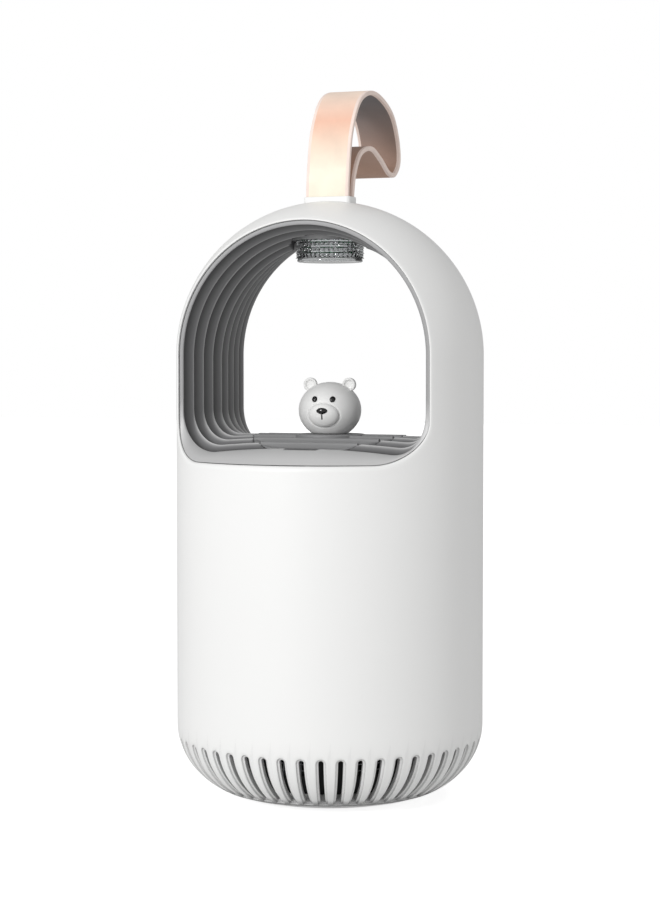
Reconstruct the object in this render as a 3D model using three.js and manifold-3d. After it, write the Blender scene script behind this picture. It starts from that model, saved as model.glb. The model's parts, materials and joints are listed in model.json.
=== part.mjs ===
// Suction insect lamp: a white capsule on a slotted foot, with a terraced tunnel through it, a violet lamp
// in the tunnel's ceiling, a bear's head on the intake grille in its floor, a fan and a catch tray below,
// and a leather carry strap on top. Millimetres, +Z up, front at -Y, origin at the centre of the foot.
import * as THREE from "three";
import { mergeVertices } from "three/addons/utils/BufferGeometryUtils.js";
import Module from "manifold-3d";

const wasm = await Module();
wasm.setup();

// ---- driving dimensions -------------------------------------------------------------------------------
const GAP = 0.3; // between pieces that touch
const BODY_R = 60;
const WALL = 2.5;
const DOME_Z = 172.6; // centre of the dome and of the tunnel's arch
const FOOT_R = 26; // flat part of the foot
const FOOT_H = 29; // height of the rounded foot
const MOUTH_R = 42; // opening under the foot
const SLOTS = 50;
const SLOT_W = 2.4;
const SLOT_IN_R = 44.2;
const SLOT_TOP_Z = 24.6;

const TUNNEL_R = 51.2; // half width and arch radius of the hole in the shell
const TUNNEL_FLOOR_Z = 132.5;
const RIM_CORNER_R = 16;
const WAIST_R = 46.3; // half width at the tunnel's waist
const WAIST_ARCH_Z = 170.4;
const WAIST_FLOOR_Z = 142;
const WAIST_CORNER_R = 9;
const LIP_R = 49.5; // half width at the first and last terrace
const LIP_FLOOR_Z = 137;
const TERRACES = 8;
const TERRACE_PITCH = 7.25;
const UNDERCUT = 1.5;
const LINER_R = TUNNEL_R - GAP;
const LINER_BASE_Z = 129;
const FLOOR_THICK = 3.3;

const GRILLE_R = 30;
const HUB_R = 13.8;
const GRILLE_BASE_Z = 138.4;
const LENS_R = 13.6;
const LENS_Z = [208.9, 218.6];
const LAMP_R = 15;
const LAMP_TOP_Z = 222.2;
const LEDS = 6;
const LED_CIRCLE_R = 8;

const HEAD = { x: 12.3, y: 11.6, z: 11, centreZ: 151.3, turn: THREE.MathUtils.degToRad(7) };

const STRAP_W = 17.7;
const STRAP_T = 1.8;
const STRAP_LEG_Y = 2.5;
const STRAP_TURN_Z = 226.05; // centre of the turn round the bar
const PLATE = { x: 19.3, y: 8.4, bottomZ: 227.9, topZ: 234.3 };
const BAR_SCREW_X = 12;

const DECK_Z = [104, 107];
const DECK_R = 56.9;
const DECK_SCREW_R = 53;
const FAN_Z = [80, 103.6];
const FAN_R = 41;
const FAN_BORE_R = 37.6;
const FAN_SCREW_R = 44;
const BLADES = 7;
const SHAFT_R = 1.4;

const TRAY_R = 38.5;
const TRAY_Z = [5, 79.4];
const TRAY_WALL = 1.6;
const TRAY_WINDOWS = 8;
const WINDOW_Z = [14, 60];
const WINDOW_HALF = 9.5;
const COVER_RIM_Z = 7.6;

const LEAD_R = 0.8;
const LEAD_PASS = [43.3, 21]; // where the lead goes up through the deck
const LEAD_ARCH_R = 54.2;

const BUTTON_Z = 62;
const BUTTON_R = 6;
const SOCKET_Z = 42;

// ---- finishes -----------------------------------------------------------------------------------------
const finish = (color, roughness, metalness = 0) => ({ color, roughness, metalness });
const WHITE_ABS = finish("#f2f2f1", 0.42);
const GREY_ABS = finish("#8f9091", 0.5);
const BLACK_ABS = finish("#1b1c1e", 0.5);
const LEATHER = finish("#eccdb8", 0.7);
const CLEAR = finish("#dfe3e6", 0.1);
const BOARD = finish("#1d6b42", 0.5);
const LED_WHITE = finish("#efe9c8", 0.3);
const STEEL = finish("#b9bcc0", 0.3, 1);
const BRONZE = finish("#a9793f", 0.4, 1);
const RUBBER = finish("#3a3b3d", 0.85);
const MESH_METAL = finish("#9a9da0", 0.45, 1);

// ---- geometry helpers ---------------------------------------------------------------------------------
// A three.js geometry as a solid, turned to face outwards.
function solid(geometry) {
  const bare = geometry.index ? geometry.toNonIndexed() : geometry.clone();
  bare.deleteAttribute("normal");
  bare.deleteAttribute("uv");
  const merged = mergeVertices(bare, 1e-4);
  const vertProperties = new Float32Array(merged.attributes.position.array);
  const triVerts = new Uint32Array(merged.index.array);
  const made = new wasm.Manifold(new wasm.Mesh({ numProp: 3, vertProperties, triVerts }));
  if (made.volume() > 0) return made;
  for (let i = 0; i < triVerts.length; i += 3) {
    [triVerts[i + 1], triVerts[i + 2]] = [triVerts[i + 2], triVerts[i + 1]];
  }
  return new wasm.Manifold(new wasm.Mesh({ numProp: 3, vertProperties, triVerts }));
}

function geometryOf(made) {
  const mesh = made.getMesh();
  const geometry = new THREE.BufferGeometry();
  geometry.setAttribute("position", new THREE.BufferAttribute(mesh.vertProperties, 3));
  geometry.setIndex(new THREE.BufferAttribute(mesh.triVerts, 1));
  return geometry;
}

const join = (...solids) => solids.reduce((a, b) => a.add(b));
const cut = (body, ...tools) => tools.reduce((a, b) => a.subtract(b), body);

// Profile of [radius, height] pairs turned about Z; it starts and ends on the axis, or closes on itself.
function turned(profile, segments = 48) {
  const points = profile.map(([r, z]) => new THREE.Vector2(r, z));
  return solid(new THREE.LatheGeometry(points, segments).rotateX(Math.PI / 2));
}

const disc = (radius, z0, z1, segments = 24, x = 0, y = 0) =>
  solid(new THREE.CylinderGeometry(radius, radius, z1 - z0, segments)
    .rotateX(Math.PI / 2).translate(x, y, (z0 + z1) / 2));

const ring = (outer, inner, z0, z1, segments = 48) =>
  turned([[inner, z0], [outer, z0], [outer, z1], [inner, z1], [inner, z0]], segments);

const block = (x0, x1, y0, y1, z0, z1) =>
  solid(new THREE.BoxGeometry(x1 - x0, y1 - y0, z1 - z0)
    .translate((x0 + x1) / 2, (y0 + y1) / 2, (z0 + z1) / 2));

// A shape drawn in Y and Z, carried along X from -half to half.
const prismAlongX = (shape, half) =>
  solid(new THREE.ExtrudeGeometry(shape, { depth: 2 * half, bevelEnabled: false })
    .rotateX(Math.PI / 2).rotateZ(Math.PI / 2).translate(-half, 0, 0));

const spun = (made, degrees) => made.rotate([0, 0, degrees]);
const around = (count, start = 0) => Array.from({ length: count }, (_, i) => start + (360 * i) / count);
const polar = (radius, degrees) => {
  const a = THREE.MathUtils.degToRad(degrees);
  return [radius * Math.cos(a), radius * Math.sin(a)];
};

// Quarter ellipse of the foot, inset by the wall: radius to height.
function footHeight(radius, inset = 0) {
  const across = (radius - FOOT_R) / (BODY_R - FOOT_R - inset);
  return FOOT_H - (FOOT_H - inset) * Math.sqrt(Math.max(0, 1 - across * across));
}

function footProfile(fromRadius, inset, steps) {
  const toRadius = BODY_R - inset;
  const first = Math.asin((fromRadius - FOOT_R) / (toRadius - FOOT_R));
  return Array.from({ length: steps + 1 }, (_, i) => {
    const a = first + ((Math.PI / 2 - first) * i) / steps;
    const radius = FOOT_R + (toRadius - FOOT_R) * Math.sin(a);
    return [radius, footHeight(radius, inset)];
  });
}

function domeProfile(radius, steps) {
  return Array.from({ length: steps }, (_, i) => {
    const a = (Math.PI / 2) * ((i + 1) / steps);
    return [i + 1 === steps ? 0 : radius * Math.cos(a), DOME_Z + radius * Math.sin(a)];
  });
}

// The tunnel's section in X and Z: a round arch over straight sides and a floor with rounded corners.
function archOutline({ half, archZ, floorZ, corner }, archSteps = 18, cornerSteps = 3) {
  const points = [];
  for (let i = 0; i <= archSteps; i += 1) {
    const a = (Math.PI * i) / archSteps;
    points.push(new THREE.Vector2(half * Math.cos(a), archZ + half * Math.sin(a)));
  }
  for (const side of [-1, 1]) {
    for (let i = 0; i <= cornerSteps; i += 1) {
      const a = (Math.PI / 2) * (side < 0 ? i / cornerSteps : 1 - i / cornerSteps);
      const x = half - corner + corner * Math.cos(a);
      points.push(new THREE.Vector2(side * x, floorZ + corner - corner * Math.sin(a)));
    }
  }
  return points;
}

// Solid between two outlines of the same number of points, at y0 and y1.
function lofted(outlineA, y0, outlineB, y1) {
  const n = outlineA.length;
  const vertices = [...outlineA.map((p) => [p.x, y0, p.y]), ...outlineB.map((p) => [p.x, y1, p.y])];
  const caps = THREE.ShapeUtils.triangulateShape(outlineA, []);
  const faces = [];
  for (const [a, b, c] of caps) {
    faces.push(a, b, c);
    faces.push(n + a, n + c, n + b);
  }
  for (let i = 0; i < n; i += 1) {
    const j = (i + 1) % n;
    faces.push(i, n + i, n + j);
    faces.push(i, n + j, j);
  }
  const geometry = new THREE.BufferGeometry();
  geometry.setAttribute("position", new THREE.Float32BufferAttribute(vertices.flat(), 3));
  geometry.setIndex(faces);
  return solid(geometry);
}

// ---- shell and tunnel ---------------------------------------------------------------------------------
const rimOutline = () =>
  archOutline({ half: TUNNEL_R, archZ: DOME_Z, floorZ: TUNNEL_FLOOR_Z, corner: RIM_CORNER_R });

function outerShell() {
  const wallProfile = (inset, footSteps, domeSteps) => [...footProfile(MOUTH_R, inset, footSteps),
    [BODY_R - inset, DOME_Z], ...domeProfile(BODY_R - inset, domeSteps)];
  const profile = [...wallProfile(WALL, 2, 6).reverse(), ...wallProfile(0, 3, 6)];
  const skin = turned(profile, SLOTS);
  const ledge = ring(BODY_R - WALL + 0.6, 49.5, 99, DECK_Z[0] - GAP, SLOTS);
  const slot = block(SLOT_IN_R, BODY_R + 4, -SLOT_W / 2, SLOT_W / 2, -1, SLOT_TOP_Z);
  const slots = around(SLOTS, 90 + 180 / SLOTS).map((a) => spun(slot, a));
  const tunnel = lofted(rimOutline(), -70, rimOutline(), 70);
  const [plateX, plateY] = [PLATE.x / 2 + GAP, PLATE.y / 2 + GAP];
  const plateHole = block(-plateX, plateX, -plateY, plateY, 220, 240);
  const barHoles = [-1, 1].map((s) => disc(1.3, 220, 230.5, 12, s * BAR_SCREW_X));
  const deckHoles = around(4).map((a) => disc(1.5, 98, 105, 10, ...polar(DECK_SCREW_R, a)));
  const buttonHole = disc(BUTTON_R + 0.4, 50, 66, 24).rotate([-90, 0, 0]).translate([0, 0, BUTTON_Z]);
  const socketHole = block(-4.9, 4.9, 50, 66, SOCKET_Z - 2, SOCKET_Z + 2);
  const topHoles = [plateHole, ...barHoles];
  return cut(join(skin, ledge), ...slots, tunnel, ...topHoles, ...deckHoles, buttonHole, socketHole);
}

// Section of the tunnel at one ridge, 0 at the waist and 1 at the first and last lips.
function ridgeSection(reach, grow = 0) {
  const spread = reach ** 1.3;
  return {
    half: WAIST_R + (LIP_R - WAIST_R) * spread + grow,
    archZ: WAIST_ARCH_Z + (DOME_Z - WAIST_ARCH_Z) * spread,
    floorZ: WAIST_FLOOR_Z + (LIP_FLOOR_Z - WAIST_FLOOR_Z) * reach ** 2.2 - grow,
    corner: WAIST_CORNER_R + (RIM_CORNER_R - 2 - WAIST_CORNER_R) * spread,
  };
}

// The liner's blank: a wide part inside the shell's wall, and lips that stand in the hole through the wall.
function linerBlank() {
  const parts = [[LINER_BASE_Z, BODY_R - WALL - GAP], [TUNNEL_FLOOR_Z + 2, BODY_R - 0.8]];
  return join(...parts.map(([floorZ, radius]) => {
    const outline = archOutline({ half: LINER_R, archZ: DOME_Z, floorZ, corner: RIM_CORNER_R - GAP });
    const room = turned([[0, 120], [radius, 120], [radius, DOME_Z], ...domeProfile(radius, 6)], SLOTS);
    return lofted(outline, -60, outline, 60).intersect(room);
  }));
}

function tunnelLiner() {
  let liner = linerBlank();
  const half = TERRACES / 2;
  for (const side of [-1, 1]) {
    for (let i = 0; i < half; i += 1) {
      const near = archOutline(ridgeSection((i + 1) / half, UNDERCUT * 0.25));
      const lip = archOutline(ridgeSection(i / half));
      const yLip = side * (i * TERRACE_PITCH - 0.02);
      const yNear = side * (i + 1) * TERRACE_PITCH;
      const pair = side < 0 ? [near, yNear, lip, yLip] : [lip, yLip, near, yNear];
      liner = liner.subtract(lofted(...pair));
    }
    const lipY = side * half * TERRACE_PITCH;
    const atLip = archOutline({ ...ridgeSection(1), half: LINER_R + 1, corner: RIM_CORNER_R + 1 });
    const atRim = archOutline({ half: LINER_R + 1, archZ: DOME_Z, floorZ: 132.6, corner: RIM_CORNER_R + 1 });
    const pair = side < 0 ? [atRim, -62, atLip, lipY] : [atLip, lipY, atRim, 62];
    liner = liner.subtract(lofted(...pair));
  }
  const hollow = new THREE.Shape([[-36, 128], [36, 128], [36, 133.2], [24, 135], [12, 137.4],
    [0, WAIST_FLOOR_Z - FLOOR_THICK], [-12, 137.4], [-24, 135], [-36, 133.2]].map((p) => new THREE.Vector2(...p)));
  const well = disc(GRILLE_R + GAP, 128, 150, 36);
  const lampHole = disc(LAMP_R + GAP, 205, 230, 36);
  return cut(liner, prismAlongX(hollow, 40), well, lampHole);
}

// ---- strap --------------------------------------------------------------------------------------------
function strapPlate() {
  const body = block(-PLATE.x / 2, PLATE.x / 2, -PLATE.y / 2, PLATE.y / 2, PLATE.bottomZ, PLATE.topZ);
  const w = STRAP_W / 2 + GAP;
  const t = STRAP_T / 2 + 0.25;
  const slots = [-1, 1].map((s) => block(-w, w, s * STRAP_LEG_Y - t, s * STRAP_LEG_Y + t, 220, 240));
  return cut(body, ...slots);
}

// The strap's middle line in Y and Z: up the front leg, over the loop, back under it and down the rear leg.
function strapLine() {
  const turn = [-30, -65, -90, -115, -150].map((degrees) => {
    const [y, z] = polar(STRAP_LEG_Y, degrees);
    return [y, STRAP_TURN_Z + z];
  });
  const loop = [[-2.5, 226.5], [-2.5, 233.5], [-1.5, 244], [1.9, 259.5], [11, 272.4], [24, 276.9], [38.5, 274.9],
    [49.6, 269.3], [56.1, 259], [56.6, 251.4], [51, 246.4], [44.6, 246.7], [35, 251.3], [24, 254.8],
    [11.6, 251.6], [5.2, 243.6], [2.7, 234.6], [2.5, 226.5]];
  const points = [...turn, ...loop].map(([y, z]) => new THREE.Vector3(0, y, z));
  return new THREE.CatmullRomCurve3(points, true, "centripetal");
}

// A closed band of rectangular section carried round the line: four corners a step, joined to the next step.
function carryStrap() {
  const line = strapLine();
  const steps = 72;
  const vertices = [];
  const faces = [];
  for (let i = 0; i < steps; i += 1) {
    const p = line.getPointAt(i / steps);
    const t = line.getTangentAt(i / steps);
    for (const [side, half] of [[-1, -1], [1, -1], [1, 1], [-1, 1]]) {
      const offset = (side * STRAP_T) / 2;
      vertices.push((half * STRAP_W) / 2, p.y - offset * t.z, p.z + offset * t.y);
    }
    const next = (i + 1) % steps;
    for (let k = 0; k < 4; k += 1) {
      const [a, b] = [4 * i + k, 4 * i + ((k + 1) % 4)];
      const [c, d] = [4 * next + k, 4 * next + ((k + 1) % 4)];
      faces.push(a, b, d, a, d, c);
    }
  }
  const geometry = new THREE.BufferGeometry();
  geometry.setAttribute("position", new THREE.Float32BufferAttribute(vertices, 3));
  geometry.setIndex(faces);
  return solid(geometry);
}

function strapBar() {
  const bar = block(-BAR_SCREW_X, BAR_SCREW_X, -1, 1, 225.4, 227.2);
  const eyes = [-1, 1].map((s) => disc(2.6, 225.15, 227.2, 16, s * BAR_SCREW_X));
  const holes = [-1, 1].map((s) => disc(1.3, 224, 229, 12, s * BAR_SCREW_X));
  return cut(join(bar, ...eyes), ...holes);
}

// A pan-head screw on Z with its head at the top (up = 1) or at the bottom (up = -1).
function screw(headZ, tipZ, shankR, headR, headH, segments = 10) {
  const up = Math.sign(headZ - tipZ);
  const top = headZ + up * headH;
  const recess = headZ + up * headH * 0.45;
  const head = turned([[0, headZ], [headR, headZ], [headR * 0.9, top], [0, top]], segments);
  const shank = disc(shankR, Math.min(tipZ, headZ + 0.2 * up), Math.max(tipZ, headZ + 0.2 * up), segments);
  const slot = block(-headR * 2, headR * 2, -0.35, 0.35, Math.min(recess, top + up), Math.max(recess, top + up));
  return cut(join(head, shank), slot);
}

// ---- lamp ---------------------------------------------------------------------------------------------
function lampLens() {
  const [z0, z1] = LENS_Z;
  return turned([[0, z0], [LENS_R - 0.6, z0], [LENS_R, z0 + 0.6], [LENS_R, z1], [LENS_R - 1.4, z1],
    [LENS_R - 1.4, z0 + 1.6], [0, z0 + 1.6]], 32);
}

function lampHousing() {
  const wall = 0.9;
  const foot = LENS_Z[1] - 1.2;
  return turned([[0, 221], [LAMP_R - wall, 221], [LAMP_R - wall, foot], [LAMP_R, foot],
    [LAMP_R, LAMP_TOP_Z], [0, LAMP_TOP_Z]], 32);
}

const ledBoard = () => disc(12.6, 219, 220.6, 24);

function uvLed(degrees) {
  const [x, y] = polar(LED_CIRCLE_R, degrees);
  return join(block(x - 1.75, x + 1.75, y - 1.75, y + 1.75, 218, 218.8), disc(1.3, 217.4, 218.4, 8, x, y));
}

// ---- grille and bear ----------------------------------------------------------------------------------
function intakeGrille() {
  const z0 = GRILLE_BASE_Z;
  const frame = ring(GRILLE_R, GRILLE_R - 2.2, z0, 141.2, 36);
  const bars = [-3, -2, -1, 0, 1, 2, 3].map((i) => {
    const y = i * TERRACE_PITCH;
    const half = Math.sqrt((GRILLE_R - 1) ** 2 - (Math.abs(y) + 1) ** 2);
    return block(-half, half, y - 0.8, y + 0.8, z0, 141.6 - 0.3 * Math.abs(i));
  });
  const hub = disc(HUB_R, z0, WAIST_FLOOR_Z, 36);
  return cut(join(frame, hub, ...bars), disc(1.9, 130, 150, 12));
}

function bearHead() {
  const skull = solid(new THREE.SphereGeometry(1, 20, 12).rotateX(Math.PI / 2)
    .scale(HEAD.x, HEAD.y, HEAD.z).translate(0, 0, HEAD.centreZ));
  const ears = [-1, 1].map((s) => {
    const ear = solid(new THREE.CylinderGeometry(2.8, 2.8, 2.6, 14).translate(s * 7.8, 0, 161.2));
    const hollow = solid(new THREE.CylinderGeometry(1.5, 1.5, 1, 10).translate(s * 7.8, -1.3, 161.7));
    return cut(ear, hollow);
  });
  const muzzle = solid(new THREE.SphereGeometry(1, 14, 8).scale(6.2, 3.2, 4.6).translate(0, -10.2, 149.6));
  const floor = block(-20, 20, -20, 20, 130, WAIST_FLOOR_Z + GAP);
  const eyes = [-1, 1].map((s) => eyeAt(s, 1.35, 0.2));
  const nose = noseSolid(0.25);
  return cut(join(skull, ...ears, muzzle), floor, disc(1.3, 130, 150, 12), ...eyes, nose);
}

// An eye: a short peg on the head's surface, 18 degrees to one side of the face.
function eyeAt(side, radius, deeper = 0) {
  const peg = new THREE.CylinderGeometry(radius, radius, 2.2 + deeper, 16);
  return solid(peg.translate(0, -10.4 + deeper / 2, 0).rotateZ(side * 0.31).translate(0, 0, 155.7));
}

function noseSolid(grow = 0) {
  return solid(new THREE.SphereGeometry(1, 12, 8).scale(2 + grow, 1.1 + grow, 1.05 + grow)
    .translate(0, -13.3, 151.1));
}

// ---- deck, duct and fan -------------------------------------------------------------------------------
function midDeck() {
  const plate = ring(DECK_R, 36.4, ...DECK_Z, 36);
  const fanHoles = around(4, 45).map((a) => disc(1.6, 100, 110, 10, ...polar(FAN_SCREW_R, a)));
  const deckHoles = around(4).map((a) => disc(1.5, 100, 110, 10, ...polar(DECK_SCREW_R, a)));
  const leadHole = disc(2, 100, 110, 10, ...LEAD_PASS);
  return cut(plate, ...fanHoles, ...deckHoles, leadHole);
}

const intakeDuct = () =>
  turned([[35.6, DECK_Z[1] + GAP], [39.5, DECK_Z[1] + GAP], [39.5, 108.9], [37.2, 108.9], [32.6, 132.9],
    [31, 132.9], [35.6, DECK_Z[1] + GAP]], 36);

function fanFrame() {
  const [z0, z1] = FAN_Z;
  const tube = ring(FAN_R, FAN_BORE_R, z0, z1, 36);
  const ears = around(4, 45).map((a) => disc(4, 94, z1, 12, ...polar(FAN_SCREW_R, a)));
  const earHoles = around(4, 45).map((a) => disc(1.6, 93, 106, 10, ...polar(FAN_SCREW_R, a)));
  const struts = around(4, 20).map((a) => spun(block(12, FAN_BORE_R + 1, -1.5, 1.5, z0, z0 + 3), a));
  return cut(join(tube, ...ears, ...struts, disc(14, z0, z0 + 3, 24)), ...earHoles);
}

const fanMotor = () => ring(9.5, 2.8, FAN_Z[0] + 3.3, 94.6, 24);
const fanBearing = () => ring(2.6, SHAFT_R + 0.12, FAN_Z[0] + 3.3, 94.6, 24);
const fanShaft = () => disc(SHAFT_R, 84, 97.6, 24);

function fanImpeller() {
  const hub = turned([[SHAFT_R + 0.2, 95.6], [11.6, 95.6], [11.6, 84.4], [14.4, 84.4], [15, 96.6],
    [13.6, 98], [SHAFT_R + 0.2, 98], [SHAFT_R + 0.2, 95.6]], 28);
  const blade = solid(new THREE.BoxGeometry(22, 16, 1.3)).rotate([38, 0, 0]).translate([25, 0, 91]);
  const core = disc(12.5, 70, 110, 36);
  const blades = around(BLADES).map((a) => cut(spun(blade, a), core));
  return join(hub, ...blades);
}

// ---- electronics --------------------------------------------------------------------------------------
function controlBoard() {
  const parts = [block(-12, 12, 47, 48.6, 34, 72), block(3, 9, 45.4, 47.2, 48, 54),
    block(-9, -5, 44, 47.2, 50, 56), block(-3, 3, 45.8, 47.2, 64, 68)];
  return join(...parts);
}

function usbSocket() {
  const can = block(-4.5, 4.5, 48.9, 59.2, SOCKET_Z - 1.6, SOCKET_Z + 1.6);
  const mouth = block(-4.1, 4.1, 52, 60, SOCKET_Z - 1.25, SOCKET_Z + 1.25);
  const tongue = block(-3, 3, 51.5, 58, SOCKET_Z - 0.4, SOCKET_Z + 0.4);
  return join(cut(can, mouth), tongue);
}

const pushSwitch = () =>
  join(block(-3, 3, 48.9, 52.4, BUTTON_Z - 3, BUTTON_Z + 3),
    disc(1.7, -53.5, -52.2, 16).rotate([90, 0, 0]).translate([0, 0, BUTTON_Z]));

function powerButton() {
  return turned([[0, 54.6], [7, 54.6], [7, 56.2], [BUTTON_R, 56.2], [BUTTON_R, 59.2],
    [BUTTON_R - 0.6, 59.8], [0, 59.5]], 28).rotate([-90, 0, 0]).translate([0, 0, BUTTON_Z]);
}

// The lamp's lead: from the control board up through the deck, up the pillar and over the tunnel's arch.
function lampLead() {
  const route = [[10, 44.8, 70], [16, 45, 80], [30, 38, 90], [...LEAD_PASS, 97], [...LEAD_PASS, 104],
    [43.5, 21, 111], [52, 13, 121], [54, 6, 135]];
  for (let degrees = 0; degrees <= 75; degrees += 15) {
    const [x, z] = polar(LEAD_ARCH_R, degrees);
    route.push([x, 6 + degrees / 25, DOME_Z + z]);
  }
  route.push([10, 9.6, 224.6], [8, 9.8, 222.8]);
  const path = new THREE.CatmullRomCurve3(route.map((p) => new THREE.Vector3(...p)), false, "centripetal");
  const section = new THREE.Shape();
  section.absarc(0, 0, LEAD_R, 0, Math.PI * 2);
  return solid(new THREE.ExtrudeGeometry(section, { steps: 32, extrudePath: path, curveSegments: 4 }));
}

// ---- tray and base ------------------------------------------------------------------------------------
function catchTray() {
  const wall = ring(TRAY_R, TRAY_R - TRAY_WALL, ...TRAY_Z, 40);
  const window = block(30, 45, -WINDOW_HALF, WINDOW_HALF, ...WINDOW_Z);
  return cut(wall, ...around(TRAY_WINDOWS, 22.5).map((a) => spun(window, a)));
}

const trayFloor = () => disc(TRAY_R - TRAY_WALL - GAP, TRAY_Z[0], TRAY_Z[0] + TRAY_WALL, 40);

const trayMesh = () =>
  ring(TRAY_R - TRAY_WALL - GAP, TRAY_R - TRAY_WALL - GAP - 0.6, TRAY_Z[0] + TRAY_WALL + GAP, 78, 40);

function baseCover() {
  const outerR = MOUTH_R - GAP;
  const steps = 3;
  const under = Array.from({ length: steps + 1 }, (_, i) => {
    const radius = FOOT_R + ((outerR - FOOT_R) * i) / steps;
    return [radius, Math.max(0.4, footHeight(radius))];
  });
  const dish = turned([[0, 0.4], ...under, [outerR, 5.6], [40.8, 5.6], [40.8, COVER_RIM_Z], [39, COVER_RIM_Z],
    [39, 4.6], [0, 4.6]], 36);
  const groove = ring(25, 17, -1, 1.9, 32);
  const grip = block(-9, 9, -4, 4, -1, 2.6);
  return cut(dish, groove, grip);
}

const footRing = () => ring(24.7, 17.3, 0, 1.6, 32);

// ---- assembly -----------------------------------------------------------------------------------------
const group = new THREE.Group();
const bear = new THREE.Group();
bear.rotation.z = HEAD.turn;
group.add(bear);

function addPart(name, made, look, parent = group) {
  const mesh = new THREE.Mesh(geometryOf(made), new THREE.MeshStandardMaterial(look));
  mesh.name = name;
  parent.add(mesh);
  return mesh;
}

addPart("outer_shell", outerShell(), WHITE_ABS);
addPart("tunnel_liner", tunnelLiner(), GREY_ABS);
addPart("strap_plate", strapPlate(), WHITE_ABS);
addPart("carry_strap", carryStrap(), LEATHER);
addPart("strap_bar", strapBar(), STEEL);
addPart("lamp_lens", lampLens(), CLEAR);
addPart("lamp_housing", lampHousing(), GREY_ABS);
addPart("led_board", ledBoard(), BOARD);
around(LEDS).forEach((a, i) => addPart(`uv_led_${i + 1}`, uvLed(a), LED_WHITE));
addPart("intake_grille", intakeGrille(), GREY_ABS);
addPart("bear_head", bearHead(), WHITE_ABS, bear);
addPart("bear_eye_left", eyeAt(1, 1.05), BLACK_ABS, bear);
addPart("bear_eye_right", eyeAt(-1, 1.05), BLACK_ABS, bear);
addPart("bear_nose", noseSolid(), BLACK_ABS, bear);
addPart("head_screw", screw(138.1, 147, 1, 2.8, 1.6), STEEL);
addPart("mid_deck", midDeck(), WHITE_ABS);
addPart("intake_duct", intakeDuct(), BLACK_ABS);
addPart("fan_frame", fanFrame(), BLACK_ABS);
addPart("fan_motor", fanMotor(), STEEL);
addPart("fan_bearing", fanBearing(), BRONZE);
addPart("fan_shaft", fanShaft(), STEEL);
addPart("fan_impeller", fanImpeller(), BLACK_ABS);
addPart("control_board", controlBoard(), BOARD);
addPart("usb_socket", usbSocket(), STEEL);
addPart("push_switch", pushSwitch(), BLACK_ABS);
addPart("power_button", powerButton(), WHITE_ABS);
addPart("lamp_lead", lampLead(), BLACK_ABS);
addPart("catch_tray", catchTray(), BLACK_ABS);
addPart("tray_floor", trayFloor(), BLACK_ABS);
addPart("tray_mesh", trayMesh(), MESH_METAL);
addPart("base_cover", baseCover(), WHITE_ABS);
addPart("foot_ring", footRing(), RUBBER);

[-1, 1].forEach((s, i) => {
  const fixing = addPart(`bar_screw_${i + 1}`, screw(224.9, 230.2, 1, 2, 1.3), STEEL);
  fixing.position.x = s * BAR_SCREW_X;
});
around(4, 45).forEach((a, i) => {
  const fixing = addPart(`fan_screw_${i + 1}`, screw(DECK_Z[1] + GAP, 96, 1.25, 2.6, 1.6), STEEL);
  fixing.position.set(...polar(FAN_SCREW_R, a), 0);
});
around(4).forEach((a, i) => {
  const fixing = addPart(`deck_screw_${i + 1}`, screw(DECK_Z[1] + GAP, 99.5, 1.15, 2.6, 1.6), STEEL);
  fixing.position.set(...polar(DECK_SCREW_R, a), 0);
});

export default group;
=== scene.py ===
"""Suction insect lamp: a white capsule on a slotted foot, with a terraced tunnel, a bear's head and a strap.

Every new piece is a surface worked out with numpy in millimetres, and put into the mesh in metres.
"""
import json
import math

import bmesh
import bpy
import numpy as np
from bpy.props import FloatProperty, IntProperty, PointerProperty, StringProperty
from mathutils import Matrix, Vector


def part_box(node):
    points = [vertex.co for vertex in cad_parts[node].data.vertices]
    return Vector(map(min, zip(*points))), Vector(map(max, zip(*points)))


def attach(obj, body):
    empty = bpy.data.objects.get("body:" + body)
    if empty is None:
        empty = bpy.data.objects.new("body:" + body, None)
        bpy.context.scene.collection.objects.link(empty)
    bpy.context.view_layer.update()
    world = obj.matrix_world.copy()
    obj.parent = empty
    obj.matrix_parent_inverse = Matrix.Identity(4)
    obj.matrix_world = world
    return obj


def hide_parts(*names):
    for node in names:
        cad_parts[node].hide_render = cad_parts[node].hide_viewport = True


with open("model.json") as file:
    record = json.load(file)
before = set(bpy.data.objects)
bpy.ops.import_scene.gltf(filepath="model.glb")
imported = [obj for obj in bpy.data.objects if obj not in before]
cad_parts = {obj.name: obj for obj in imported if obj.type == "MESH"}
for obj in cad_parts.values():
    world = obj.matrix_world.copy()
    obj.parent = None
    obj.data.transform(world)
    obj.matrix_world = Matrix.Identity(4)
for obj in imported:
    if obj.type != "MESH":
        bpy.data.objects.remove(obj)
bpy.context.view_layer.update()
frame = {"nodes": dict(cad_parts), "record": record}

MM = 0.001

bl_info = {
    "name": "Insect Lamp Maker",
    "version": (1, 0, 0),
    "blender": (4, 5, 0),
    "location": "3D View > Sidebar > Lamp",
    "description": "Makes a suction insect lamp with a terraced tunnel, piece by piece",
    "category": "Object",
}

SHELL_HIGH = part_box("outer_shell")[1]
STRAP_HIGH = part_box("carry_strap")[1]
PLATE_LOW, PLATE_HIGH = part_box("strap_plate")
LENS_LOW, LENS_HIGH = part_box("lamp_lens")

# Heights and radii in millimetres that more than one piece is built on.
SPLIT_Z = 110.0
MOUTH_RING = 42.9
WELL_R = 30.12
WAIST_ARCH_Z = 170.4
FLOOR_TOP, FLOOR_FALL, FLOOR_POWER = 142.0, 4.6, 2.2
MUZZLE_LIFT = 1.35
VIEW_TURN = math.radians(21.3)
SLOT_FINISH = {"bear_abs": "head_abs", "uv_led": "led_resin"}


# ---- sizes and colours that a user would change --------------------------------------------------------
def length(name, description, metres):
    return FloatProperty(name=name, description=description, default=metres, unit="LENGTH", precision=4)


def colour(name, description, code):
    return StringProperty(name=name, description=description, default=code)


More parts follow.
